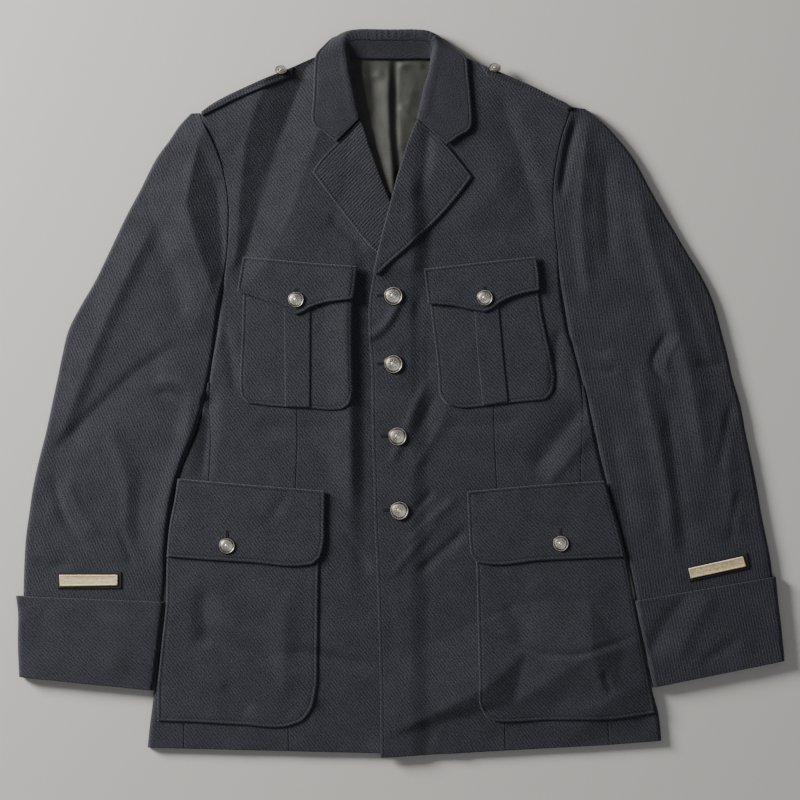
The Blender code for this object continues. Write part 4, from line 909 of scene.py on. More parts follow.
def cut_points(outline, step, rings):
    """Triangulated points of a flat piece: edge, rings and field."""
    rows = [outline]
    for depth in rings:
        ring = inset(outline, depth)
        rows.append(ring[:: (1 if depth < 2.0 else 2)])
    low, high = outline.min(0), outline.max(0)
    field_x, field_y = np.meshgrid(np.arange(low[0], high[0], step),
                                   np.arange(low[1], high[1], step * 0.87))
    field_x = field_x + (np.arange(field_y.shape[0]) % 2)[:, None] * step / 2
    field = np.stack((field_x.ravel(), field_y.ravel()), -1)
    loop = np.vstack((outline, outline[:1]))
    field = field[inside(field, outline)]
    field = field[nearest(loop, field[:, 0], field[:, 1])[0] > rings[-1] + 0.55 * step]
    points = np.vstack(rows + [field])
    ring = list(range(len(outline)))
    made = delaunay_2d_cdt([Vector(p) for p in points], [], [ring], 1, 1e-4)
    spots = np.array([tuple(p) for p in made[0]])
    faces = np.array([f for f in made[2] if len(f) == 3])
    return spots, faces, nearest(loop, spots[:, 0], spots[:, 1])[0]


def cut_piece(name, outline, under, lift, wall, grain, welt=0.22, rim=0.8, step=2.8, roll=None,
              rings=WELT_RINGS, seam=None, sewn=True, corner=34.0):
    """Cloth cut to an outline and laid on a surface; roll is the fold edge of a turned piece."""
    border = smooth_outline(outline, corner=corner)
    spots, faces, away = cut_points(border, step, rings)
    x, y = spots[:, 0], spots[:, 1]
    low = under(x, y) + lift
    puff = welt * (bell(away, 1.6, 1.1) - 1.3 * bell(away, STITCH_LINE, 0.7))
    rise = wall - rim_drop(away, rim) + puff
    stitch = away if sewn else np.full(len(away), FAR)
    # Painted shade: unless a real seam is given, the seam attribute darkens the piece's outer edge like
    # a contact shadow.
    dark = away * 0.9 + 0.55 if seam is None else seam(x, y)
    if roll is not None:
        turned = nearest(roll, x, y)[0]
        rise = np.where(turned < away + 0.05, wall - rim_drop(turned, 1.9 * rim), rise)
        rise += 0.7 * bell(turned, 0.0, 11.0)
        stitch = np.where(turned < away + 0.05, FAR, away)
        dark = np.where(turned < away + 0.05, FAR, dark)
    top = low + np.maximum(rise, 0.12)
    edges = np.vstack((faces[:, [0, 1]], faces[:, [1, 2]], faces[:, [2, 0]]))
    a, b, c = (spots[faces[:, k]] for k in range(3))
    if ((b - a)[:, 0] * (c - a)[:, 1] - (b - a)[:, 1] * (c - a)[:, 0]).sum() < 0:
        faces, edges = faces[:, ::-1], edges[:, ::-1]
    count = len(spots)
    known = set(map(tuple, edges.tolist()))
    rim_edges = np.array([e for e in known if (e[1], e[0]) not in known])
    sides = [[int(q), int(p), int(p) + count, int(q) + count] for p, q in rim_edges]
    points = np.vstack((np.column_stack((x, y, top)), np.column_stack((x, y, low))))
    piece = dress(name, points, faces.tolist() + (faces[:, ::-1] + count).tolist() + sides,
                  np.vstack((spots, spots)), grain, np.concatenate((stitch, stitch)),
                  np.concatenate((dark, dark)))
    return piece, border, lambda px, py: under(px, py) + lift + wall


# %% [markdown]
# ## Writing a material as sums
#
# A procedural cloth is arithmetic: a wave across the weave, a little noise, a groove beside each
# seam. In the shader editor every plus is a node to place and two links to draw. A small class
# wraps a socket instead, and Python's own operators add the Math nodes, so the formula can be
# read as a formula.

# %% Sockets with operators
class Value:
    """A socket of a material. Sums and products with it add Math nodes."""

    def __init__(self, tree, socket):
        self.tree, self.socket = tree, socket

    def node(self, kind, settings=None, output=0, **inputs):
        """Any other node: settings first, then its sockets by name or place."""
        made = self.tree.nodes.new(kind)
        for key, value in (settings or {}).items():
            setattr(made, key, value)
        for key, value in inputs.items():
            socket = made.inputs[int(key[1:]) if key[0] == "_" else key.replace("_", " ")]
            if isinstance(value, Value):
                self.tree.links.new(value.socket, socket)
            else:
                socket.default_value = value
        return Value(self.tree, made.outputs[output])

    def math(self, operation, *others):
        places = {"_%d" % k: value for k, value in enumerate(others)}
        return self.node("ShaderNodeMath", {"operation": operation}, **places)

    def __add__(self, other): return self.math("ADD", self, other)
    def __radd__(self, other): return self.math("ADD", other, self)
    def __sub__(self, other): return self.math("SUBTRACT", self, other)
    def __rsub__(self, other): return self.math("SUBTRACT", other, self)
    def __mul__(self, other): return self.math("MULTIPLY", self, other)
    def __rmul__(self, other): return self.math("MULTIPLY", other, self)
    def __truediv__(self, other): return self.math("DIVIDE", self, other)
    def __rtruediv__(self, other): return self.math("DIVIDE", other, self)

    def sine(self):
        return self.math("SINE", self)

    def noise(self, scale, detail, roughness=0.5):
        """Noise read at this place."""
        return self.node("ShaderNodeTexNoise", Vector=self, Scale=scale, Detail=detail,
                         Roughness=roughness)

    def between(self, low, high):
        """Smooth share from 0 at low to 1 at high."""
        return self.node("ShaderNodeMapRange", {"interpolation_type": "SMOOTHSTEP"},
                         _0=self, _1=low, _2=high)

    def bell(self, centre, width):
        """A bump of height 1 about centre."""
        far = (self - centre) / width
        return 1.0 / (1.0 + far * far * far * far)

    def blend(self, dark, light):
        """A colour between two colours, by this share."""
        return self.node("ShaderNodeMix", {"data_type": "RGBA"}, output=2, _0=self, _6=dark, _7=light)


def start_material(name, viewport):
    """A new material: its shader node and a first Value to build on."""
    made = bpy.data.materials.new(name)
    made.use_nodes = True
    made.diffuse_color = (*viewport, 1.0)
    shader = made.node_tree.nodes["Principled BSDF"]
    return made, shader, Value(made.node_tree, None)


def join(value, shader, socket):
    value.tree.links.new(value.socket, shader.inputs[socket])


def paint(shader, share, dark, light):
    """The base colour, between two colours by a share."""
    join(share.blend((*dark, 1.0), (*light, 1.0)), shader, "Base Color")


def emboss(shader, height, strength, distance):
    """A bump from a height."""
    join(height.node("ShaderNodeBump", Strength=strength, Distance=distance, Height=height), shader,
         "Normal")


def place_on_cloth(start):
    """The flat pattern as one place and as its two coordinates in metres."""
    weave = start.node("ShaderNodeUVMap", {"uv_map": "weave"})
    u = start.node("ShaderNodeSeparateXYZ", _0=weave)
    return weave, u, Value(u.tree, u.socket.node.outputs[1])


def attribute(start, name):
    return start.node("ShaderNodeAttribute", {"attribute_name": name}, output=2)


# %% [markdown]
# ## The wool
#
# The cloth is a navy twill: each weft thread steps one warp thread further, which draws steep
# diagonal ribs about three millimetres apart. Ribs catch the light from one side, and between them
# the wool is nearly black. On top of that the cloth is never one colour: single fibres are paler,
# lint sits on it, and where it is pressed or rubbed it is a little smoother. The ribs are a wave
# on the flat pattern, bent by noise, and they feed the bump and the colour, where the light side
# and the shaded side of each rib are painted in. The colour also has painted shade in the stitch
# and seam grooves and along the outer edge of pieces cut to an outline.

# %% Navy twill
RIB_PITCH = 0.0031   # metres from rib to rib
THREAD = 0.0006       # metres from thread to thread along a rib


def wool(name, dark, light, lint=0.5, ribs=1.0):
    made, shader, start = start_material(name, light)
    weave, u, v = place_on_cloth(start)
    cloud, fibre = weave.noise(38.0, 4.0, 0.6), weave.noise(820.0, 3.0, 0.7)
    drift = weave.noise(240.0, 2.0)
    clear = drift.between(0.34, 0.60)
    wave = ((u + (drift - 0.5) * 0.0012) * (2.0 * math.pi / RIB_PITCH)).sine() * clear * 0.5 + 0.5
    cross = (v * (2.0 * math.pi / THREAD) + wave * 1.6).sine() * 0.5 + 0.5
    # Painted shade: the colour is darkened in the stitch and seam grooves and along the outer edge of
    # pieces cut to an outline; the same share presses the grooves into the bump.
    groove = (attribute(start, "stitch").bell(STITCH_LINE, 0.7) * 0.5
              + attribute(start, "seam").bell(0.0, 0.6) * 1.1)
    # The rib wave in the colour is painted light and shade: a light side and a shaded side on each rib.
    tone = ((wave - 0.5) * (0.46 * ribs) + (cross - 0.5) * 0.12 + (fibre - 0.5) * 2.8
            + (cloud - 0.5) * 0.36 + 0.5 - groove * 0.30)
    base = tone.between(0.0, 1.0).blend((*dark, 1.0), (*light, 1.0))
    fluff = weave.noise(620.0, 1.0).between(0.735, 0.80) * cloud.between(0.42, 0.62) * lint
    join(fluff.blend(base, (0.20, 0.20, 0.22, 1.0)), shader, "Base Color")
    join(0.90 - cloud * 0.12 - wave * 0.05, shader, "Roughness")
    height = wave * (0.7 * ribs) + cross * 0.14 + fibre * 1.0 + cloud * 0.5 - groove * 1.2
    emboss(shader, height, 0.8, 0.0005)
    for socket, value in (("Sheen Weight", 0.22), ("Sheen Roughness", 0.45),
                          ("Sheen Tint", (0.72, 0.73, 0.80, 1.0)), ("Specular IOR Level", 0.28)):
        shader.inputs[socket].default_value = value
    return made


WOOL_COLOURS = (0.0044, 0.0046, 0.0066), (0.0460, 0.0475, 0.0610)
NAVY = wool("navy_wool", *WOOL_COLOURS)
NAVY_PATCH = wool("navy_wool_patch", (0.0046, 0.0048, 0.0068), (0.0465, 0.0480, 0.0615))
NAVY_LEAF = wool("navy_wool_leaf", *WOOL_COLOURS, lint=0.8, ribs=1.4)
NAVY_COLLAR = wool("navy_wool_collar", *WOOL_COLOURS, ribs=0.4)

# %% [markdown]
# ## Lining, backing, braid, metal and thread
#
# The lining is a satin: long floating threads, so it has a gloss that runs across the folds, and
# its colour has lighter streaks that are partly uneven threads and partly painted sheen. The bars
# on the forearms are metal braid, fine ribs with a bound edge, sewn onto black felt. The buttons
# are pressed brass that handling has polished on the raised parts; their turned edge and the ring
# groove inside the rim are painted dark, as shade and as the reflection of the dark cloth.

# %% Satin lining
def satin(name, dark, light):
    made, shader, start = start_material(name, light)
    weave, u, _ = place_on_cloth(start)
    cloud = weave.noise(55.0, 3.0)
    streak_and_sheen = start.node("ShaderNodeMapping", {"vector_type": "POINT"}, _0=weave,
                        Scale=(2600.0, 160.0, 1.0)).noise(1.0, 2.0)
    # The streaks are partly uneven floating threads and partly painted sheen: they lighten the colour
    # as the satin's gloss would.
    paint(shader, (cloud * 0.7 + streak_and_sheen * 0.6 - 0.3).between(0.0, 1.0), dark, light)
    join(0.42 + streak_and_sheen * 0.22, shader, "Roughness")
    threads = (u * (2.0 * math.pi / 0.0004)).sine()
    emboss(shader, threads * 0.3 + streak_and_sheen + cloud * 2.0, 0.35, 0.0002)
    shader.inputs["Sheen Weight"].default_value = 0.1
    return made


def felt(name, dark, light):
    made, shader, start = start_material(name, light)
    spot = start.node("ShaderNodeTexCoord", output=3)
    fuzz, mat = spot.noise(900.0, 4.0), spot.noise(120.0, 2.0)
    paint(shader, (fuzz * 0.8 + mat * 0.4 - 0.1).between(0.0, 1.0), dark, light)
    join(0.96 - fuzz * 0.1, shader, "Roughness")
    emboss(shader, fuzz + mat, 0.6, 0.0003)
    return made


# %% Gold braid
def braid(name, dark, light):
    made, shader, start = start_material(name, light)
    weave, u, v = place_on_cloth(start)
    ribs = (u * (2.0 * math.pi / 0.0011)).sine() * 0.5 + 0.5
    wires = (v * (2.0 * math.pi / 0.0007)).sine() * 0.5 + 0.5
    wear = weave.noise(260.0, 3.0)
    bound = 1.0 - attribute(start, "stitch").between(1.1, 1.9)
    tone = ribs * 0.22 + wires * 0.12 + wear * 0.5 + 0.14 + bound * 0.12
    paint(shader, tone.between(0.0, 1.0), dark, light)
    join(0.34 + wear * 0.25, shader, "Roughness")
    join(0.35 + ribs * 0.35, shader, "Metallic")
    emboss(shader, ribs + wires * 0.3 + wear * 0.4 + bound, 0.7, 0.0004)
    return made


# %% Pressed brass and sewing thread
def brass(name, dark, light):
    made, shader, start = start_material(name, light)
    spot = start.node("ShaderNodeTexCoord", output=3)
    age, marks = spot.noise(240.0, 4.0, 0.65), spot.noise(2400.0, 2.0)
    # The relief attribute is polish on the raised parts and painted shade: dark on the turned edge and
    # in the ring groove.
    tone = attribute(start, "relief") * 0.95 + (age - 0.5) * 0.7 + (marks - 0.5) * 0.3
    paint(shader, tone.between(0.0, 1.0), dark, light)
    join(0.24 + age * 0.2, shader, "Roughness")
    emboss(shader, age + marks * 0.4, 0.25, 0.0002)
    shader.inputs["Metallic"].default_value = 1.0
    return made


def thread(name, dark, light):
    made, shader, start = start_material(name, light)
    twist = start.node("ShaderNodeTexCoord", output=3).noise(2600.0, 2.0)
    paint(shader, twist.between(0.3, 0.7), dark, light)
    join(0.55 + twist * 0.2, shader, "Roughness")
    return made


LINING = satin("lining_satin", (0.012, 0.013, 0.010), (0.058, 0.060, 0.048))
BLACK = felt("black_felt", (0.004, 0.004, 0.005), (0.020, 0.020, 0.022))
BRAID = braid("gold_braid", (0.20, 0.15, 0.075), (0.90, 0.74, 0.46))
BRASS = brass("pressed_brass", (0.045, 0.034, 0.018), (0.93, 0.89, 0.78))
THREAD_NAVY = thread("navy_thread", (0.010, 0.011, 0.017), (0.052, 0.056, 0.076))
THREAD_BLACK = thread("black_thread", (0.003, 0.003, 0.004), (0.016, 0.016, 0.02))

# %% [markdown]
# ## Sewing the pieces on
#
# Every finished piece is given its material and the body that it moves with, and the solids that
# it stands for are hidden. A cloth piece is also declared as a sheet, with the size that it was
# cut to. That size is measured here on its flat pattern.

# %% Materials, bodies and sheets
SHEETS = []


def sew(piece, material, slot, *nodes):
    """Give a finished piece its material and its body, and hide the solids it stands for; slot is not
    used.
    """
    piece.data.materials.append(material)
    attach(piece, "root")
    if nodes:
        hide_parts(*nodes)
    return piece


def declare_sheet(piece, rests_on):
    """Declare a cloth piece with the flat size and area of its pattern."""
    mesh = piece.data
    flat = np.zeros(len(mesh.loops) * 2)
    mesh.uv_layers["weave"].data.foreach_get("uv", flat)
    flat = flat.reshape(-1, 2)
    turned = []
    for turn in np.radians(np.arange(0.0, 90.0, 2.0)):
        u = flat[:, 0] * math.cos(turn) + flat[:, 1] * math.sin(turn)
        v = flat[:, 1] * math.cos(turn) - flat[:, 0] * math.sin(turn)
        turned.append((np.ptp(u) * np.ptp(v), np.ptp(u), np.ptp(v)))
    size = np.maximum(min(turned)[1:], 0.0102)
    area = 0.0
    for face in mesh.polygons:
        ring = flat[face.loop_start:face.loop_start + face.loop_total]
        nxt = np.roll(ring, -1, 0)
        area += 0.25 * abs((ring[:, 0] * nxt[:, 1] - ring[:, 1] * nxt[:, 0]).sum())
    area = float(np.clip(area, 0.31 * size[0] * size[1], size[0] * size[1]))
    SHEETS.append((piece.name, size, area))
    return piece


# %% [markdown]
# ## Back and under sleeves
#
# The jacket lies on its back, so these are flat on the table and show only at the rim and from
# below. They are cut to the outline that the folded edges leave them.

# %% Back
FLAT = lambda x, y: 0.0 * x + 0.02 + 0.12 * (1.0 + unevenness(x, y, 70.0, 71)) * 0.5


def back_outline():
    """The back's edge, inside the fronts' folded edges."""
    right = [row[2:5] for row in SIDE_RIGHT] + [row[2:5] for row in FRONT_RIGHT[9:]]
    left = [row[2:5] for row in SIDE_LEFT] + [row[2:5] for row in FRONT_LEFT[9:]]
    outline = []
    for points, inward in ((right, 1.0), (left, -1.0)):
        edge = []
        for x, y, turn in points:
            share = 1.0 if y < 0.0 else max(0.08, turn)
            edge.append((x + inward * (0.6 + 4.4 * share), y - 3.6 * float(ease(296.0, 306.0, y))))
        outline += edge if inward > 0 else edge[::-1]
        if inward > 0:
            outline += [(-66, 360.5), (42, 360.5)]
    return outline


centre_back = lambda x, y: x + 1.5
back, *_ = cut_piece("back_cloth", back_outline(), FLAT, 0.0, CLOTH, 0.0, welt=0.0, step=7.0,
                     seam=centre_back)
declare_sheet(sew(back, NAVY, "outer_cloth", "back"), ["floor"])
print("back:", len(back.data.polygons), "faces")

# %% [markdown]
# ## Fronts and side panels
#
# The fronts are the largest pieces. A vertical dart runs through each of them from the chest
# pocket to the hem; it is one sewn line in one piece of cloth, so it is a signed distance that
# the material presses in, with puckers beside it in the height. The side panel joins at a real
# seam, where two edges turn in beside each other.

# %% Build a front and its side panel
BODY_GRAIN = 38.0    # degrees that the ribs are turned by


def build_body(side, rows, side_rows, dart):
    top = lambda x, y, share: body_surface(x, y, side)
    outer, inner, pattern, distances = panel_grids(rows, top, (None, 4))
    away, lies, *_ = nearest(dart, outer[..., 0], outer[..., 1])
    low_end = np.where(outer[..., 1] > -13.0, FAR, away * np.where(lies == 0, 1, lies))
    front = shell("front_%s_cloth" % side, outer, inner, pattern, BODY_GRAIN,
                  stitch=np.where(outer[..., 1] < 190.0, distances[0], FAR), seam=low_end)
    declare_sheet(sew(front, NAVY, "outer_cloth", "front_" + side), ["back_cloth"])
    outer, inner, pattern, distances = panel_grids(side_rows, top, (None, 4))
    flank = shell("side_%s_cloth" % side, outer, inner, pattern, BODY_GRAIN + 3.0)
    declare_sheet(sew(flank, NAVY, "outer_cloth", "side_" + side), ["back_cloth"])
    print(front.name, len(front.data.polygons), "faces;", flank.name, len(flank.data.polygons))


build_body("right", FRONT_RIGHT, SIDE_RIGHT, DART_RIGHT)
build_body("left", FRONT_LEFT, SIDE_LEFT, DART_LEFT)

# %% [markdown]
# ## Sleeves
#
# A sleeve is the same kind of panel with both edges folded down, wider at the elbow. Its rows run
# round the bend of the arm. Inside the cuff it is pressed a little narrower, as the real one is.

# %% Top and under sleeves
def under_outline(rows, cuff_rows):
    """Flat outline of an under sleeve, from the cuff's edge to the armhole."""
    first = 1 + max(k for k, row in enumerate(rows) if row[5] < 1)
    start = []
    for k in (0, 2):
        low, high = rows[first - 1], rows[first]
        ax, ay, bx, by = cuff_rows[-1]
        inward = (3.2 if k == 0 else -3.2) * math.copysign(1.0, bx - ax)
        near = ay + (by - ay) * (low[k] + inward - ax) / (bx - ax) + 1.2
        share = (near - low[k + 1]) / (high[k + 1] - low[k + 1])
        start += [low[k] + share * (high[k] - low[k]), near]
    left, right = [], []
    for row in [(*start, 1, 1, 1)] + rows[first:-1]:
        begin, end = Vector(row[0:2]), Vector(row[2:4])
        run = (end - begin).normalized()
        left.append(tuple(begin + run * (0.6 + 4.2 * max(0.08, row[4]))))
        right.append(tuple(end - run * 5.0))
    return left + right[::-1]


def build_sleeve(side, rows, cuff_rows, grain):
    outer, inner, pattern, _ = panel_grids(rows, sleeve_surface(side), (4, 5), loft=6)
    sleeve = shell("top_sleeve_%s_cloth" % side, outer, inner, pattern, grain)
    under, *_ = cut_piece("under_sleeve_%s_cloth" % side, under_outline(rows, cuff_rows), FLAT, 0.0,
                          CLOTH, grain, welt=0.0, step=7.0)
    declare_sheet(sew(sleeve, NAVY, "outer_cloth", "top_sleeve_" + side), [under.name])
    declare_sheet(sew(under, NAVY, "outer_cloth", "under_sleeve_" + side), ["floor"])
    print(sleeve.name, len(sleeve.data.polygons), "faces")


build_sleeve("right", SLEEVE_RIGHT, CUFF_RIGHT, 24.0)
build_sleeve("left", SLEEVE_LEFT, CUFF_LEFT, 9.0)

# %% [markdown]
# ## Cuffs
#
# The end of each sleeve is turned up on the outside, so a cuff is a short flattened tube round
# it. Its section is drawn once as a loop, crown, two folds and the floor, and carried along rows.

# %% A turned-up cuff
CUFF_TOP = SLEEVE_LOFT + 2.5


def cuff_loop(length, inset):
    """Section of a cuff as places along and heights, once round."""
    bend, low, high = 5.4 - inset, 0.75 * inset, CUFF_TOP - inset
    angles = np.radians(np.linspace(90.0, -90.0, 15))
    centre = 0.5 * (low + high)
    turn = inset + bend * (1.0 - np.cos(angles)), centre + (high - centre) * np.sin(angles)
    flat = np.linspace(inset + bend, length - inset - bend, int(length / 2.6))[1:-1]
    along = np.concatenate((flat, length - turn[0], flat[::-1], turn[0][::-1]))
    z = np.concatenate((high + 0.0 * flat, turn[1], low + 0.0 * flat, turn[1][::-1]))
    return along, z


def build_cuff(side, rows, table, grain):
    fine, from_end = flow([(*row, 1.0) for row in rows], 2.4)
    length = np.hypot(*(fine[:, 2:4] - fine[:, 0:2]).T)
    grids = []
    for inset_by in (0.0, 1.5):
        grid = []
        for row, far, end in zip(fine, length, from_end):
            along, z = cuff_loop(length.max(), inset_by)
            along = along * far / length.max()
            x = row[0] + (row[2] - row[0]) * along / far
            y = row[1] + (row[3] - row[1]) * along / far
            crown = ease(0.35 * CUFF_TOP, 0.9 * CUFF_TOP, z)
            bow = 0.45 * np.sin(math.pi * along / far)
            live = creases(table, x, y) + 0.22 * unevenness(x, y, 44.0, 61) + bow
            drop = float(rim_drop(np.array(end), 0.8)) if inset_by == 0.0 else 0.0
            z = z + crown * (live - drop)
            grid.append(np.stack((x, y, z), -1))
        grids.append(np.array(grid))
    outer, inner = grids
    steps = np.linalg.norm(np.diff(outer, axis=1), axis=2)
    spread = np.hstack((np.zeros((len(fine), 1)), np.cumsum(steps, axis=1)))
    run = (fine[:, 2:4] - fine[:, 0:2]) / length[:, None]
    pattern = fine[:, None, 0:2] + run[:, None, :] * spread[..., None]
    cuff = shell("cuff_%s_cloth" % side, outer, inner, pattern, grain, wrap=True)
    declare_sheet(sew(cuff, NAVY_PATCH, "outer_cloth", "cuff_" + side), ["floor"])
    print(cuff.name, len(cuff.data.polygons), "faces")


build_cuff("right", CUFF_RIGHT, CUFF_RIGHT_FOLDS, 44.0)
build_cuff("left", CUFF_LEFT, CUFF_LEFT_FOLDS, 12.0)

# %% [markdown]
# ## Pockets and flaps
#
# A patch pocket is sewn down along three sides, so it lies close and its edge is a small step with
# a puffed welt. The chest pockets carry a box pleat down the middle. The flaps are sewn only along
# their top and lie on the pocket by their own weight, a little proud at the free edge.

# %% What a pocket lies on
SECOND = REST + PATCH + REST


def build_pockets(side, chest, pleat, chest_flap, hip, hip_flap, grain):
    on = lambda x, y: laid_surface(x, y, side)
    made = {}
    for name, outline, lift, wall, welt in (
            ("chest_pocket", chest, REST, PATCH, 0.2), ("pocket_pleat", pleat, SECOND, 0.9, 0.0),
            ("hip_pocket", hip, REST, PATCH, 0.25)):
        piece, border, top = cut_piece("%s_%s_cloth" % (name, side), outline, on, lift, wall, grain,
                                       welt=welt, sewn=name != "pocket_pleat")
        made[name] = (piece, border, top)
        under = "front_%s_cloth" % side if name != "pocket_pleat" else "chest_pocket_%s_cloth" % side
        declare_sheet(sew(piece, NAVY_PATCH, "patch_cloth", "%s_%s" % (name, side)), [under])
    for name, outline, lift, under in (
            ("chest_flap", chest_flap, SECOND + 1.0 + REST, "chest_pocket"),
            ("hip_flap", hip_flap, SECOND, "hip_pocket")):
        free = np.array(outline, float)
        proud = lambda x, y, o=free: 0.35 * ease(o[:, 1].max() - 6.0, o[:, 1].min() + 8.0, y)
        piece, border, top = cut_piece(
            "%s_%s_cloth" % (name, side), outline, lambda x, y, f=proud: on(x, y) + f(x, y), lift,
            PATCH + 0.1, grain, welt=0.26)
        made[name] = (piece, border, top)
        declare_sheet(sew(piece, NAVY_PATCH, "patch_cloth", "%s_%s" % (name, side)),
                      ["%s_%s_cloth" % (under, side)])
    print(side, "pockets:", sorted(made))
    return made


POCKETS = {
    "right": build_pockets("right", CHEST_POCKET_RIGHT, CHEST_PLEAT_RIGHT, CHEST_FLAP_RIGHT,
                           HIP_POCKET_RIGHT, HIP_FLAP_RIGHT, 38.0),
    "left": build_pockets("left", CHEST_POCKET_LEFT, CHEST_PLEAT_LEFT, CHEST_FLAP_LEFT,
                          HIP_POCKET_LEFT, HIP_FLAP_LEFT, 44.0),
}

# %% [markdown]
# ## Lapels
#
# A lapel is the front itself, folded back along the roll line. That fold is round and soft, while
# its outer edge is sewn, turned and stitched. So the piece has a wide radius along the roll and a
# thin rim elsewhere.

# %% Build a lapel
def build_lapel(side, rows, grain):
    roll = curve([row[0:2] for row in rows], 4)
    outline = [row[0:2] for row in rows] + [row[2:4] for row in rows[::-1]]
    on = lambda x, y: body_surface(x, y, side)
    piece, border, top = cut_piece("lapel_%s_cloth" % side, outline, on, REST, LEAF - 0.2, grain,
                                   welt=0.25, roll=roll, step=2.4, corner=30.0)
    declare_sheet(sew(piece, NAVY_LEAF, "outer_cloth", "lapel_" + side), ["front_%s_cloth" % side])
    print(piece.name, len(piece.data.polygons), "faces")
    return border, top


LAPELS = {"right": build_lapel("right", LAPEL_RIGHT, -44.0),
          "left": build_lapel("left", LAPEL_LEFT, 40.0)}

# %% [markdown]
# ## Collar
#
# One piece of cloth goes round the neck: the leaf that shows, a tight fold, and the stand inside
# it down to the neck seam. Each row of the table is that section at one place round the neck. The
# rows are joined smoothly and given their thickness along the normal, thin at the free edge.

# %% A finer curve across one section
def along_section(points, count):
    """Points evenly set along a smooth curve through a section's points."""
    gaps = np.maximum(np.linalg.norm(np.diff(points, axis=0), axis=1), 1e-3)
    slopes = np.diff(points, axis=0) / gaps[:, None]
    tangent = np.vstack((slopes[:1], (slopes[:-1] * gaps[1:, None] + slopes[1:] * gaps[:-1, None])
                         / (gaps[:-1] + gaps[1:])[:, None], slopes[-1:]))
    total = np.concatenate(([0.0], np.cumsum(gaps)))
    spots = np.linspace(0.0, total[-1], count)
    cell = np.clip(np.searchsorted(total, spots, side="right") - 1, 0, len(gaps) - 1)
    gap = gaps[cell][:, None]
    t = ((spots - total[cell]) / gaps[cell])[:, None]
    return hermite(points[cell], points[cell + 1], gap * tangent[cell], gap * tangent[cell + 1], t)


# %% Build the collar
def collar_middle():
    rows = np.array(COLLAR, float)
    gaps = 0.5 * (np.hypot(*np.diff(rows[:, 0:2], axis=0).T)
                  + np.hypot(*np.diff(rows[:, 6:8], axis=0).T))
    fine = curve(rows, [max(2, int(round(gap / 2.2))) for gap in gaps])
    ends = [fine[0] + (fine[1] - fine[0]) * 0.3, fine[-1] + (fine[-2] - fine[-1]) * 0.3]
    fine = np.vstack((fine[:1], ends[0][None], fine[1:-1], ends[1][None], fine[-1:]))
    sections = []
    for row in fine:
        leaf, bend, roll, foot = (row[k:k + 3].copy() for k in (0, 3, 6, 9))
        for point in (leaf, bend, roll):
            if point[1] < min(350.0, float(shoulder_line(point[0])) - 2.0):
                rest = float(body_top(point[0], point[1])) + REST + LEAF / 2 + 0.3
                point[2] = max(point[2], rest)
        away = (bend - roll) / np.linalg.norm(bend - roll) * 2.6
        down = (foot - roll) / np.linalg.norm(foot - roll) * 2.6
        turn = roll + 0.25 * (away + down)
        line = [leaf, leaf + 0.55 * (bend - leaf), bend, 0.5 * (bend + roll), roll + away, turn,
                roll + down, roll + 0.75 * (foot - roll), foot]
        sections.append(along_section(np.array(line), 40))
    return np.array(sections)


def build_collar():
    middle = collar_middle()
    run = np.gradient(middle, axis=0)
    across = np.gradient(middle, axis=1)
    normal = np.cross(across, run)
    normal /= np.linalg.norm(normal, axis=2)[..., None]
    crest = np.argmax(middle[..., 2] * ease(360.0, 372.0, middle[..., 1]), axis=1)
    steps = np.linalg.norm(np.diff(middle, axis=1), axis=2)
    from_leaf = np.hstack((np.zeros((len(middle), 1)), np.cumsum(steps, axis=1)))
    rows = np.concatenate(([0.0], np.cumsum(np.linalg.norm(np.diff(middle[:, 0], axis=0), axis=1))))
    from_end = np.minimum(rows, rows[-1] - rows)[:, None] + 0.0 * from_leaf
    away = np.minimum(from_leaf, from_end)
    rounded = np.sqrt(1.0 - np.clip((1.0 - away) / 1.0, 0.0, 1.0) ** 2)
    puff = 0.22 * bell(away, 1.6, 1.1) - 0.28 * bell(away, STITCH_LINE, 0.7)
    soft = 0.18 * unevenness(middle[..., 0], middle[..., 1], 34.0, 81)
    half = (LEAF / 2 - 0.1) * np.maximum(rounded, 0.25)
    from_crest = from_leaf - from_leaf[np.arange(len(crest)), crest][:, None]
    stand = ease(372.0, 384.0, middle[..., 1]) * bell(from_crest, 2.5, 5.0)
    soft = soft + stand * 0.5 * (np.sin(rows * 6.28 / 6.5 + 2.0 * np.sin(rows * 0.11)))[:, None]
    stand_seam = np.where(middle[..., 1] > 362.0, from_crest - 9.5, FAR)
    outer = middle + normal * (half + puff + soft * ease(0.0, 8.0, away))[..., None]
    inner = middle - normal * half[..., None]
    pattern = np.stack((rows[:, None] + 0.0 * from_leaf, from_leaf), -1)
    stitch = np.where(from_leaf < 40.0, away, FAR)
    collar = shell("collar_cloth", outer, inner, pattern, 62.0, stitch=stitch, seam=stand_seam)
    declare_sheet(sew(collar, NAVY_COLLAR, "outer_cloth", "collar"),
                  ["front_right_cloth", "front_left_cloth"])
    print(collar.name, len(collar.data.polygons), "faces")
    return outer, from_leaf


COLLAR_TOP, COLLAR_FROM_LEAF = build_collar()

# %% [markdown]
# ## Lining inside the neck
#
# The front falls open at the neck and shows the satin lining of the back, with a pleat down its
# middle that gives the wearer room. The pleat is one sharp ridge with a trough beside it, and a
# few soft falls hang from the collar.

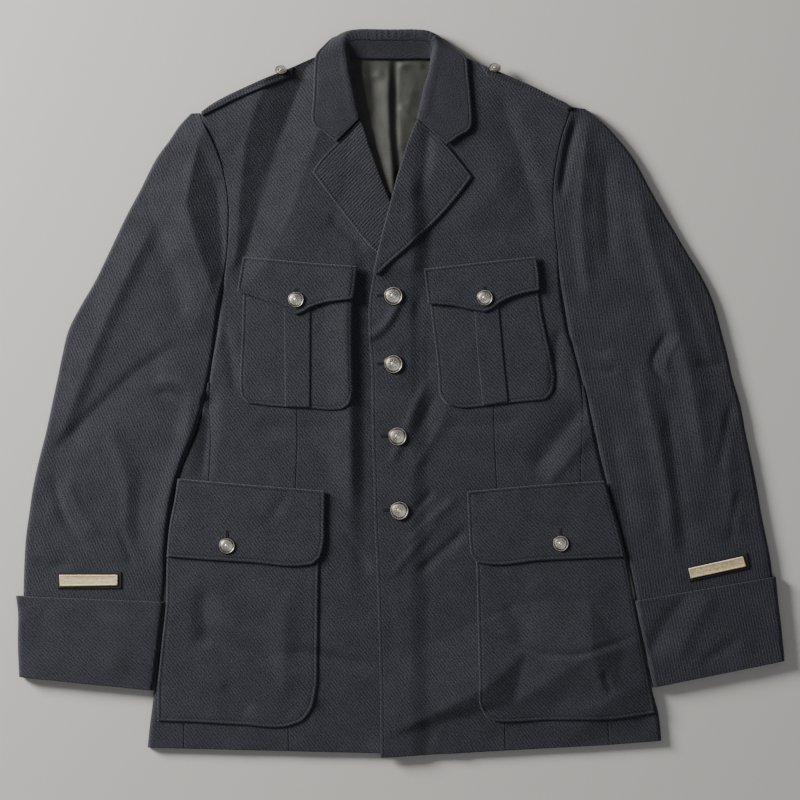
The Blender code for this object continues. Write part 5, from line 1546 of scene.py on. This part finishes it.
# %% Lining
LINING_FOLDS = [
    # name, path, half width on the left and right of the path, rise
    ("centre_pleat", [(-9, 370), (-11, 352), (-12, 321), (-11, 279), (-8, 242), (-5, 170)], 5, 17, 3.4),
    ("pleat_foot", [(-5, 390), (-7, 350), (-8, 320), (-7, 280), (-4, 242), (-2, 170)], 6, 4, -1.4),
    ("side_fall_1", [(20, 352), (11, 318), (2, 282), (-2, 250)], 7, 9, 0.6),
    ("side_fall_2", [(-40, 364), (-37, 332), (-33, 300)], 5, 8, 1.0),
    ("cross_fall_1", [(-50, 350), (-34, 342), (-16, 346)], 5, 6, 0.9),
    ("cross_fall_2", [(-4, 350), (10, 356), (28, 352)], 5, 5, 1.0),
    ("cross_fall_3", [(-2, 312), (10, 300), (24, 300)], 5, 6, 0.8),
]
lining_under = lambda x, y: (2.3 + np.maximum(0.0, creases(LINING_FOLDS, x, y) + 0.9
                                             + 0.12 * unevenness(x, y, 20.0, 91)))
lining, *_ = cut_piece("back_lining_cloth", LINING_BACK, lining_under, 0.0, 0.8, 0.0, welt=0.0,
                       step=1.9)
declare_sheet(sew(lining, LINING, "lining", "back_lining"), ["back_cloth"])

# %% [markdown]
# ## Shoulder straps and braid bars
#
# The straps lie along the shoulder seam, so from above they are seen edge on. The bars on the
# forearms are a strip of braid on a strip of felt, each with its own thickness.

# %% Straps
for side, outline, grain in (("right", STRAP_RIGHT, 20.0), ("left", STRAP_LEFT, -20.0)):
    strap, *_ = cut_piece("shoulder_strap_%s_cloth" % side, outline,
                          lambda x, y, s=side: body_surface(x, y, s), REST, PATCH + 0.4, grain,
                          welt=0.15, step=2.2, rings=(0.3, 0.8, 1.6, 2.6))
    declare_sheet(sew(strap, NAVY_PATCH, "patch_cloth", "shoulder_strap_" + side),
                  ["front_%s_cloth" % side])

# %% Bars
SLEEVES = {"right": sleeve_surface("right"), "left": sleeve_surface("left")}
for side, (felt_outline, braid_outline) in SERVICE_BARS.items():
    rows = SLEEVE_RIGHT if side == "right" else SLEEVE_LEFT
    ends = [np.array([r[k] for r in rows], float) for k in (1, 0, 2)]

    def on_sleeve(x, y, s=side, ends=ends):
        near, far = np.interp(y, ends[0], ends[1]), np.interp(y, ends[0], ends[2])
        return np.maximum(SLEEVES[s](x, y, (x - near) / (far - near)), SLEEVE_LOFT - 0.6)

    turn = 0.0 if side == "right" else 12.5
    backing, *_ = cut_piece("bar_backing_%s_cloth" % side, felt_outline, on_sleeve, REST, 0.9, turn,
                            welt=0.0, rim=0.5, step=2.2, rings=(0.3, 0.8))
    declare_sheet(sew(backing, BLACK, "bar_backing", "bar_backing_" + side),
                  ["top_sleeve_%s_cloth" % side])
    bar, *_ = cut_piece("service_bar_%s_braid" % side, braid_outline, on_sleeve, 2 * REST + 0.9, 0.9,
                        turn, welt=0.15, rim=0.5, step=2.0, rings=(0.3, 0.8, 1.5, 2.2))
    declare_sheet(sew(bar, BRAID, "braid", "service_bar_" + side), [backing.name])

# %% [markdown]
# ## Buttons
#
# A uniform button is a pressed metal cap: a flat back, a turned edge, a raised rim, and a dome
# with a small relief in the middle. It is turned from one round primitive in edit mode, by insets
# and moves, and the relief is left as a plain generic rosette of small beads round a boss. One
# button is modelled for each size; the others are copies with a mesh of their own.

# %% Turn one button
# Strap buttons look away over the shoulder: x, y, height of the back's middle, tilt.
STRAP_BUTTONS = {"button_strap_right": (-128.5, 347.6, 13.0, 36),
                 "button_strap_left": (102, 350.0, 12.9, 36)}
FRONT_BUTTON, POCKET_BUTTON, STRAP_BUTTON = 22.6, 19.4, 14.5
# Steps of the cap from its edge inwards: share of the radius, height in millimetres.
CAP = [(1.0, 0.9), (0.99, 1.5), (0.95, 1.85), (0.90, 1.9), (0.86, 1.72), (0.82, 1.5), (0.72, 1.95),
       (0.58, 2.45), (0.44, 2.75), (0.30, 2.9), (0.24, 2.9), (0.21, 3.15), (0.13, 3.32), (0.05, 3.38)]


def deselect():
    for thing in bpy.context.selected_objects:
        thing.select_set(False)


def turn_button(name, diameter):
    """A button at the origin, its back on the floor."""
    deselect()
    share = 0.80
    bpy.ops.mesh.primitive_circle_add(vertices=56, radius=share * diameter / 2 * MM,
                                      fill_type="NGON")
    cap = bpy.context.object
    cap.name = name
    bpy.ops.object.mode_set(mode="EDIT")
    bpy.ops.mesh.select_all(action="SELECT")
    for wide, high in CAP:
        bpy.ops.mesh.extrude_region_move(TRANSFORM_OT_translate={"value": (0, 0, 0)})
        bpy.ops.transform.resize(value=(wide / share, wide / share, 1.0), center_override=(0, 0, 0))
        mesh = bmesh.from_edit_mesh(cap.data)
        for vert in mesh.verts:
            if vert.select:
                vert.co.z = high * MM * min(1.0, diameter / 19.0)
        bmesh.update_edit_mesh(cap.data)
        share = wide
    bpy.ops.mesh.select_all(action="SELECT")
    bpy.ops.mesh.normals_make_consistent(inside=False)
    bpy.ops.object.mode_set(mode="OBJECT")
    return cap


# %% Add the beads of the rosette and set the buttons
def add_beads(cap, diameter):
    """A ring of small domes round the boss, joined to the cap."""
    radius, parts = diameter / 2 * MM, []
    for ring, count, size, high in ((0.36, 10, 0.075, 2.72), (0.63, 22, 0.045, 2.20)):
        for k in range(count):
            angle = 2.0 * math.pi * k / count
            deselect()
            bpy.ops.mesh.primitive_ico_sphere_add(
                subdivisions=1, radius=size * radius,
                location=(ring * radius * math.cos(angle), ring * radius * math.sin(angle),
                          high * MM * min(1.0, diameter / 19.0)))
            bead = bpy.context.object
            bpy.ops.transform.resize(value=(1.0, 1.0, 0.7))
            parts.append(bead)
    deselect()
    for part in parts:
        part.select_set(True)
    cap.select_set(True)
    bpy.context.view_layer.objects.active = cap
    bpy.ops.object.join()
    bpy.ops.object.transform_apply(location=True, rotation=True, scale=True)
    bpy.ops.object.shade_smooth_by_angle(angle=math.radians(40.0))
    spots = np.array([tuple(v.co) for v in cap.data.vertices])
    share = np.hypot(spots[:, 0], spots[:, 1]) / radius
    # Polish on the raised parts, with painted shade: the ring groove inside the rim and the turned edge
    # are set dark.
    polish_and_shade = np.interp(share, (0.0, 0.24, 0.30, 0.58, 0.72, 0.80, 0.85, 0.88, 0.92, 0.95, 1.0),
                       (1.0, 0.9, 0.35, 0.75, 0.55, 0.0, 0.2, 1.0, 0.9, 0.1, 0.0))
    beads = np.arange(len(spots)) >= len(spots) - 32 * 12
    polish_and_shade = np.where(beads & (spots[:, 2] > 2.2 * MM), 1.0, polish_and_shade)
    cap.data.attributes.new("relief", "FLOAT", "POINT").data.foreach_set("value", polish_and_shade)
    return cap


MODELS = {size: add_beads(turn_button("button_model_%d" % (10 * size), 0.9 * size), 0.9 * size)
          for size in (FRONT_BUTTON, POCKET_BUTTON, STRAP_BUTTON)}


def set_button(name, size, x, y, base, tilt=0.0, spin=0.0):
    button = MODELS[size].copy()
    button.data = MODELS[size].data.copy()
    button.name = name + "_metal"
    bpy.context.collection.objects.link(button)
    spot = place((x, y, base))
    button.data.transform(Matrix.Translation(Vector(spot))
                          @ Matrix.Rotation(math.radians(-tilt), 4, "X")
                          @ Matrix.Rotation(math.radians(spin), 4, "Z"))
    sew(button, BRASS, "button", name)
    return button


for name, (x, y) in FRONT_BUTTONS.items():
    set_button(name, FRONT_BUTTON, x, y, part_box(name)[0][2] / MM, spin=9.0 * len(name) + x)
for name, (x, y) in POCKET_BUTTONS.items():
    set_button(name, POCKET_BUTTON, x, y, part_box(name)[0][2] / MM, spin=x)
for name, (x, y, high, tilt) in STRAP_BUTTONS.items():
    set_button(name, STRAP_BUTTON, x, y, high, tilt)
for model in MODELS.values():
    bpy.data.objects.remove(model, do_unlink=True)
print("buttons:", len(FRONT_BUTTONS) + len(POCKET_BUTTONS) + len(STRAP_BUTTONS))

# %% [markdown]
# ## Topstitching and buttonholes
#
# The edges of collar, lapels, flaps and pockets are topstitched: small dashes of thread sunk in a
# groove. Each dash is a six-sided spindle of a few faces. One seam's dashes are one piece, so that
# a seam can be looked at and repainted by itself.

# %% Stitches along a line
STITCH_LENGTH, STITCH_PITCH, STITCH_RADIUS = 2.2, 3.1, 0.22
STITCH_FACES = 18


def stitches(name, line, slot):
    """Dashes of thread along a line of points in layout millimetres."""
    runs = np.linalg.norm(np.diff(line, axis=0), axis=1)
    total = np.concatenate(([0.0], np.cumsum(runs)))
    at = np.arange(STITCH_PITCH, total[-1] - STITCH_PITCH, STITCH_PITCH)
    spot = lambda where: np.stack([np.interp(where, total, line[:, k]) for k in range(3)], -1)
    first, last = spot(at - STITCH_LENGTH / 2), spot(at + STITCH_LENGTH / 2)
    points, faces = [], []
    angles = np.radians(np.arange(0, 360, 60))
    for a, b in zip(first, last):
        run = (b - a) / max(np.linalg.norm(b - a), 1e-6)
        side = np.cross(run, (0.0, 0.0, 1.0))
        side /= max(np.linalg.norm(side), 1e-6)
        up = np.cross(side, run)
        ring = np.cos(angles)[:, None] * side + np.sin(angles)[:, None] * up
        begin = len(points)
        points += [a] + list(a + (b - a) * 0.22 + ring * STITCH_RADIUS)
        points += list(a + (b - a) * 0.78 + ring * STITCH_RADIUS) + [b]
        for k in range(6):
            n = (k + 1) % 6
            faces += [[begin, begin + 1 + n, begin + 1 + k],
                      [begin + 1 + k, begin + 1 + n, begin + 7 + n, begin + 7 + k],
                      [begin + 13, begin + 7 + k, begin + 7 + n]]
    return sew(mesh_piece(name, points, faces), THREAD_NAVY, slot)


def edge_line(border, top, skip=None):
    """The stitch line inside an outline, on the piece's top."""
    ahead = np.roll(border, -2, 0) - np.roll(border, 2, 0)
    ahead /= np.hypot(*ahead.T)[:, None]
    moved = border + STITCH_LINE * np.stack((-ahead[:, 1], ahead[:, 0]), -1)
    away = nearest(np.vstack((border, border[:1])), moved[:, 0], moved[:, 1])[0]
    keep = away > 0.93 * STITCH_LINE
    if skip is not None:
        keep &= ~skip(moved)
    first = int(np.argmin(keep)) if not keep.all() else 0
    moved, keep = np.roll(moved, -first, 0), np.roll(keep, -first)
    moved = moved[keep]
    return np.column_stack((moved, top(moved[:, 0], moved[:, 1]) - 0.22))


# %% Sew the pockets, flaps, lapels and collar
total = 0
for side, made in POCKETS.items():
    for name, (piece, border, top) in made.items():
        if name == "pocket_pleat":
            continue
        sewn = stitches("stitches_%s_%s" % (name, side), edge_line(border, top), "patch_cloth")
        total += len(sewn.data.polygons) // STITCH_FACES
for side, (border, top) in LAPELS.items():
    roll = curve([row[0:2] for row in (LAPEL_LEFT if side == "left" else LAPEL_RIGHT)], 4)
    skip = lambda p, r=roll: nearest(r, p[:, 0], p[:, 1])[0] < 5.5
    sewn = stitches("stitches_lapel_" + side, edge_line(border, top, skip), "outer_cloth")
    total += len(sewn.data.polygons) // STITCH_FACES
columns = np.argmin(np.abs(COLLAR_FROM_LEAF - STITCH_LINE), axis=1)
line = COLLAR_TOP[np.arange(len(columns)), columns][3:-3] - np.array((0.0, 0.0, 0.12))
total += len(stitches("stitches_collar", line, "outer_cloth").data.polygons) // STITCH_FACES
print("stitches:", total)

# %% Buttonholes
def buttonhole(name, x, y, angle, length, height):
    """A worked buttonhole: close stitches across a short slit."""
    run = np.array((math.cos(math.radians(angle)), math.sin(math.radians(angle))))
    across = np.array((-run[1], run[0]))
    points, faces = [], []
    for side in (-1.0, 1.0):
        for k in range(int(length / 0.62)):
            mid = np.array((x, y)) + run * (k * 0.62 - length / 2) + across * side * 0.85
            begin = len(points)
            z = float(height(np.array(mid[0]), np.array(mid[1])))
            for half, reach, high in ((0.28, 0.85, 0.0), (0.2, 0.6, 0.42)):
                for u, v in ((-1, -1), (1, -1), (1, 1), (-1, 1)):
                    spot = mid + run * half * u + across * reach * v
                    points.append((spot[0], spot[1], z + high))
            faces += [[begin + q for q in f] for f in ((3, 2, 1, 0), (4, 5, 6, 7), (0, 1, 5, 4),
                                                      (1, 2, 6, 5), (2, 3, 7, 6), (3, 0, 4, 7))]
    return sew(mesh_piece(name, points, faces, smooth=False), THREAD_BLACK, "outer_cloth")


on_left = lambda x, y: body_surface(x, y, "left") + 0.02
for k, (x, y) in enumerate(FRONT_BUTTONS.values()):
    buttonhole("buttonhole_front_%d" % (k + 1), x - 12.6, y + 0.5, 2.0, 10.0, on_left)
for flap, side, x, y, length in (
        ("chest", "right", -112.5, 108, 10.0), ("chest", "left", 91, 110, 10.0),
        ("hip", "right", -187, -153, 11.0), ("hip", "left", 173, -151, 11.0)):
    top = POCKETS[side][flap + "_flap"][2]
    buttonhole("buttonhole_%s_%s" % (flap, side), x, y, 90.0, length,
               lambda x, y, t=top: t(x, y) + 0.02)

# %% [markdown]
# ## Table, light and camera
#
# The jacket is photographed from straight above in soft daylight from the upper left. That light
# is what shows the creases, so it stands low and to the left, and a wide weak one fills the
# shadows. The floor is plain and pale.

# %% Floor
deselect()
bpy.ops.mesh.primitive_plane_add(size=6.0, location=(0.0, 0.0, -0.0004))
floor = bpy.context.object
floor.name = "floor"
paper, shader, start = start_material("pale_floor", (0.6, 0.58, 0.55))
grain = start.node("ShaderNodeTexCoord", output=3).noise(420.0, 4.0)
paint(shader, grain * 0.5 + 0.25, (0.52, 0.50, 0.47), (0.62, 0.60, 0.57))
emboss(shader, grain, 0.2, 0.0003)
shader.inputs["Roughness"].default_value = 0.9
floor.data.materials.append(paper)


# %% Light
def area_light(name, spot, aim, size, power, colour):
    data = bpy.data.lights.new(name, "AREA")
    data.shape, data.size, data.energy, data.color = "DISK", size, power, colour
    lamp = bpy.data.objects.new(name, data)
    bpy.context.collection.objects.link(lamp)
    lamp.location = spot
    lamp.rotation_euler = (Vector(aim) - Vector(spot)).to_track_quat("-Z", "Y").to_euler()
    return lamp


area_light("window", (-2.18, 1.12, 1.06), (0.0, 0.0, 0.0), 0.96, 160.0, (1.0, 0.98, 0.96))
area_light("fill", (0.9, -0.9, 2.6), (0.0, 0.0, 0.0), 2.2, 9.0, (0.95, 0.97, 1.0))
world = bpy.data.worlds.new("room")
bpy.context.scene.world = world
world.use_nodes = True
world.node_tree.nodes["Background"].inputs["Color"].default_value = (0.84, 0.85, 0.88, 1.0)
world.node_tree.nodes["Background"].inputs["Strength"].default_value = 0.18

# %% Camera
CAMERA_HEIGHT, SEEN = 2.6, 0.864
data = bpy.data.cameras.new("above")
data.sensor_width = 36.0
data.lens = 36.0 * (CAMERA_HEIGHT - 0.008) / SEEN
camera = bpy.data.objects.new("above", data)
bpy.context.collection.objects.link(camera)
camera.location = (-0.0003, -0.0073, CAMERA_HEIGHT)
bpy.context.scene.camera = camera

# %% Sizes for the record, and the end
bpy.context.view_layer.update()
for name, size, area in SHEETS:
    print("%-28s %4.0f x %4.0f mm, %6.0f cm2" % (name, size[0] * 1000, size[1] * 1000, area * 1e4))
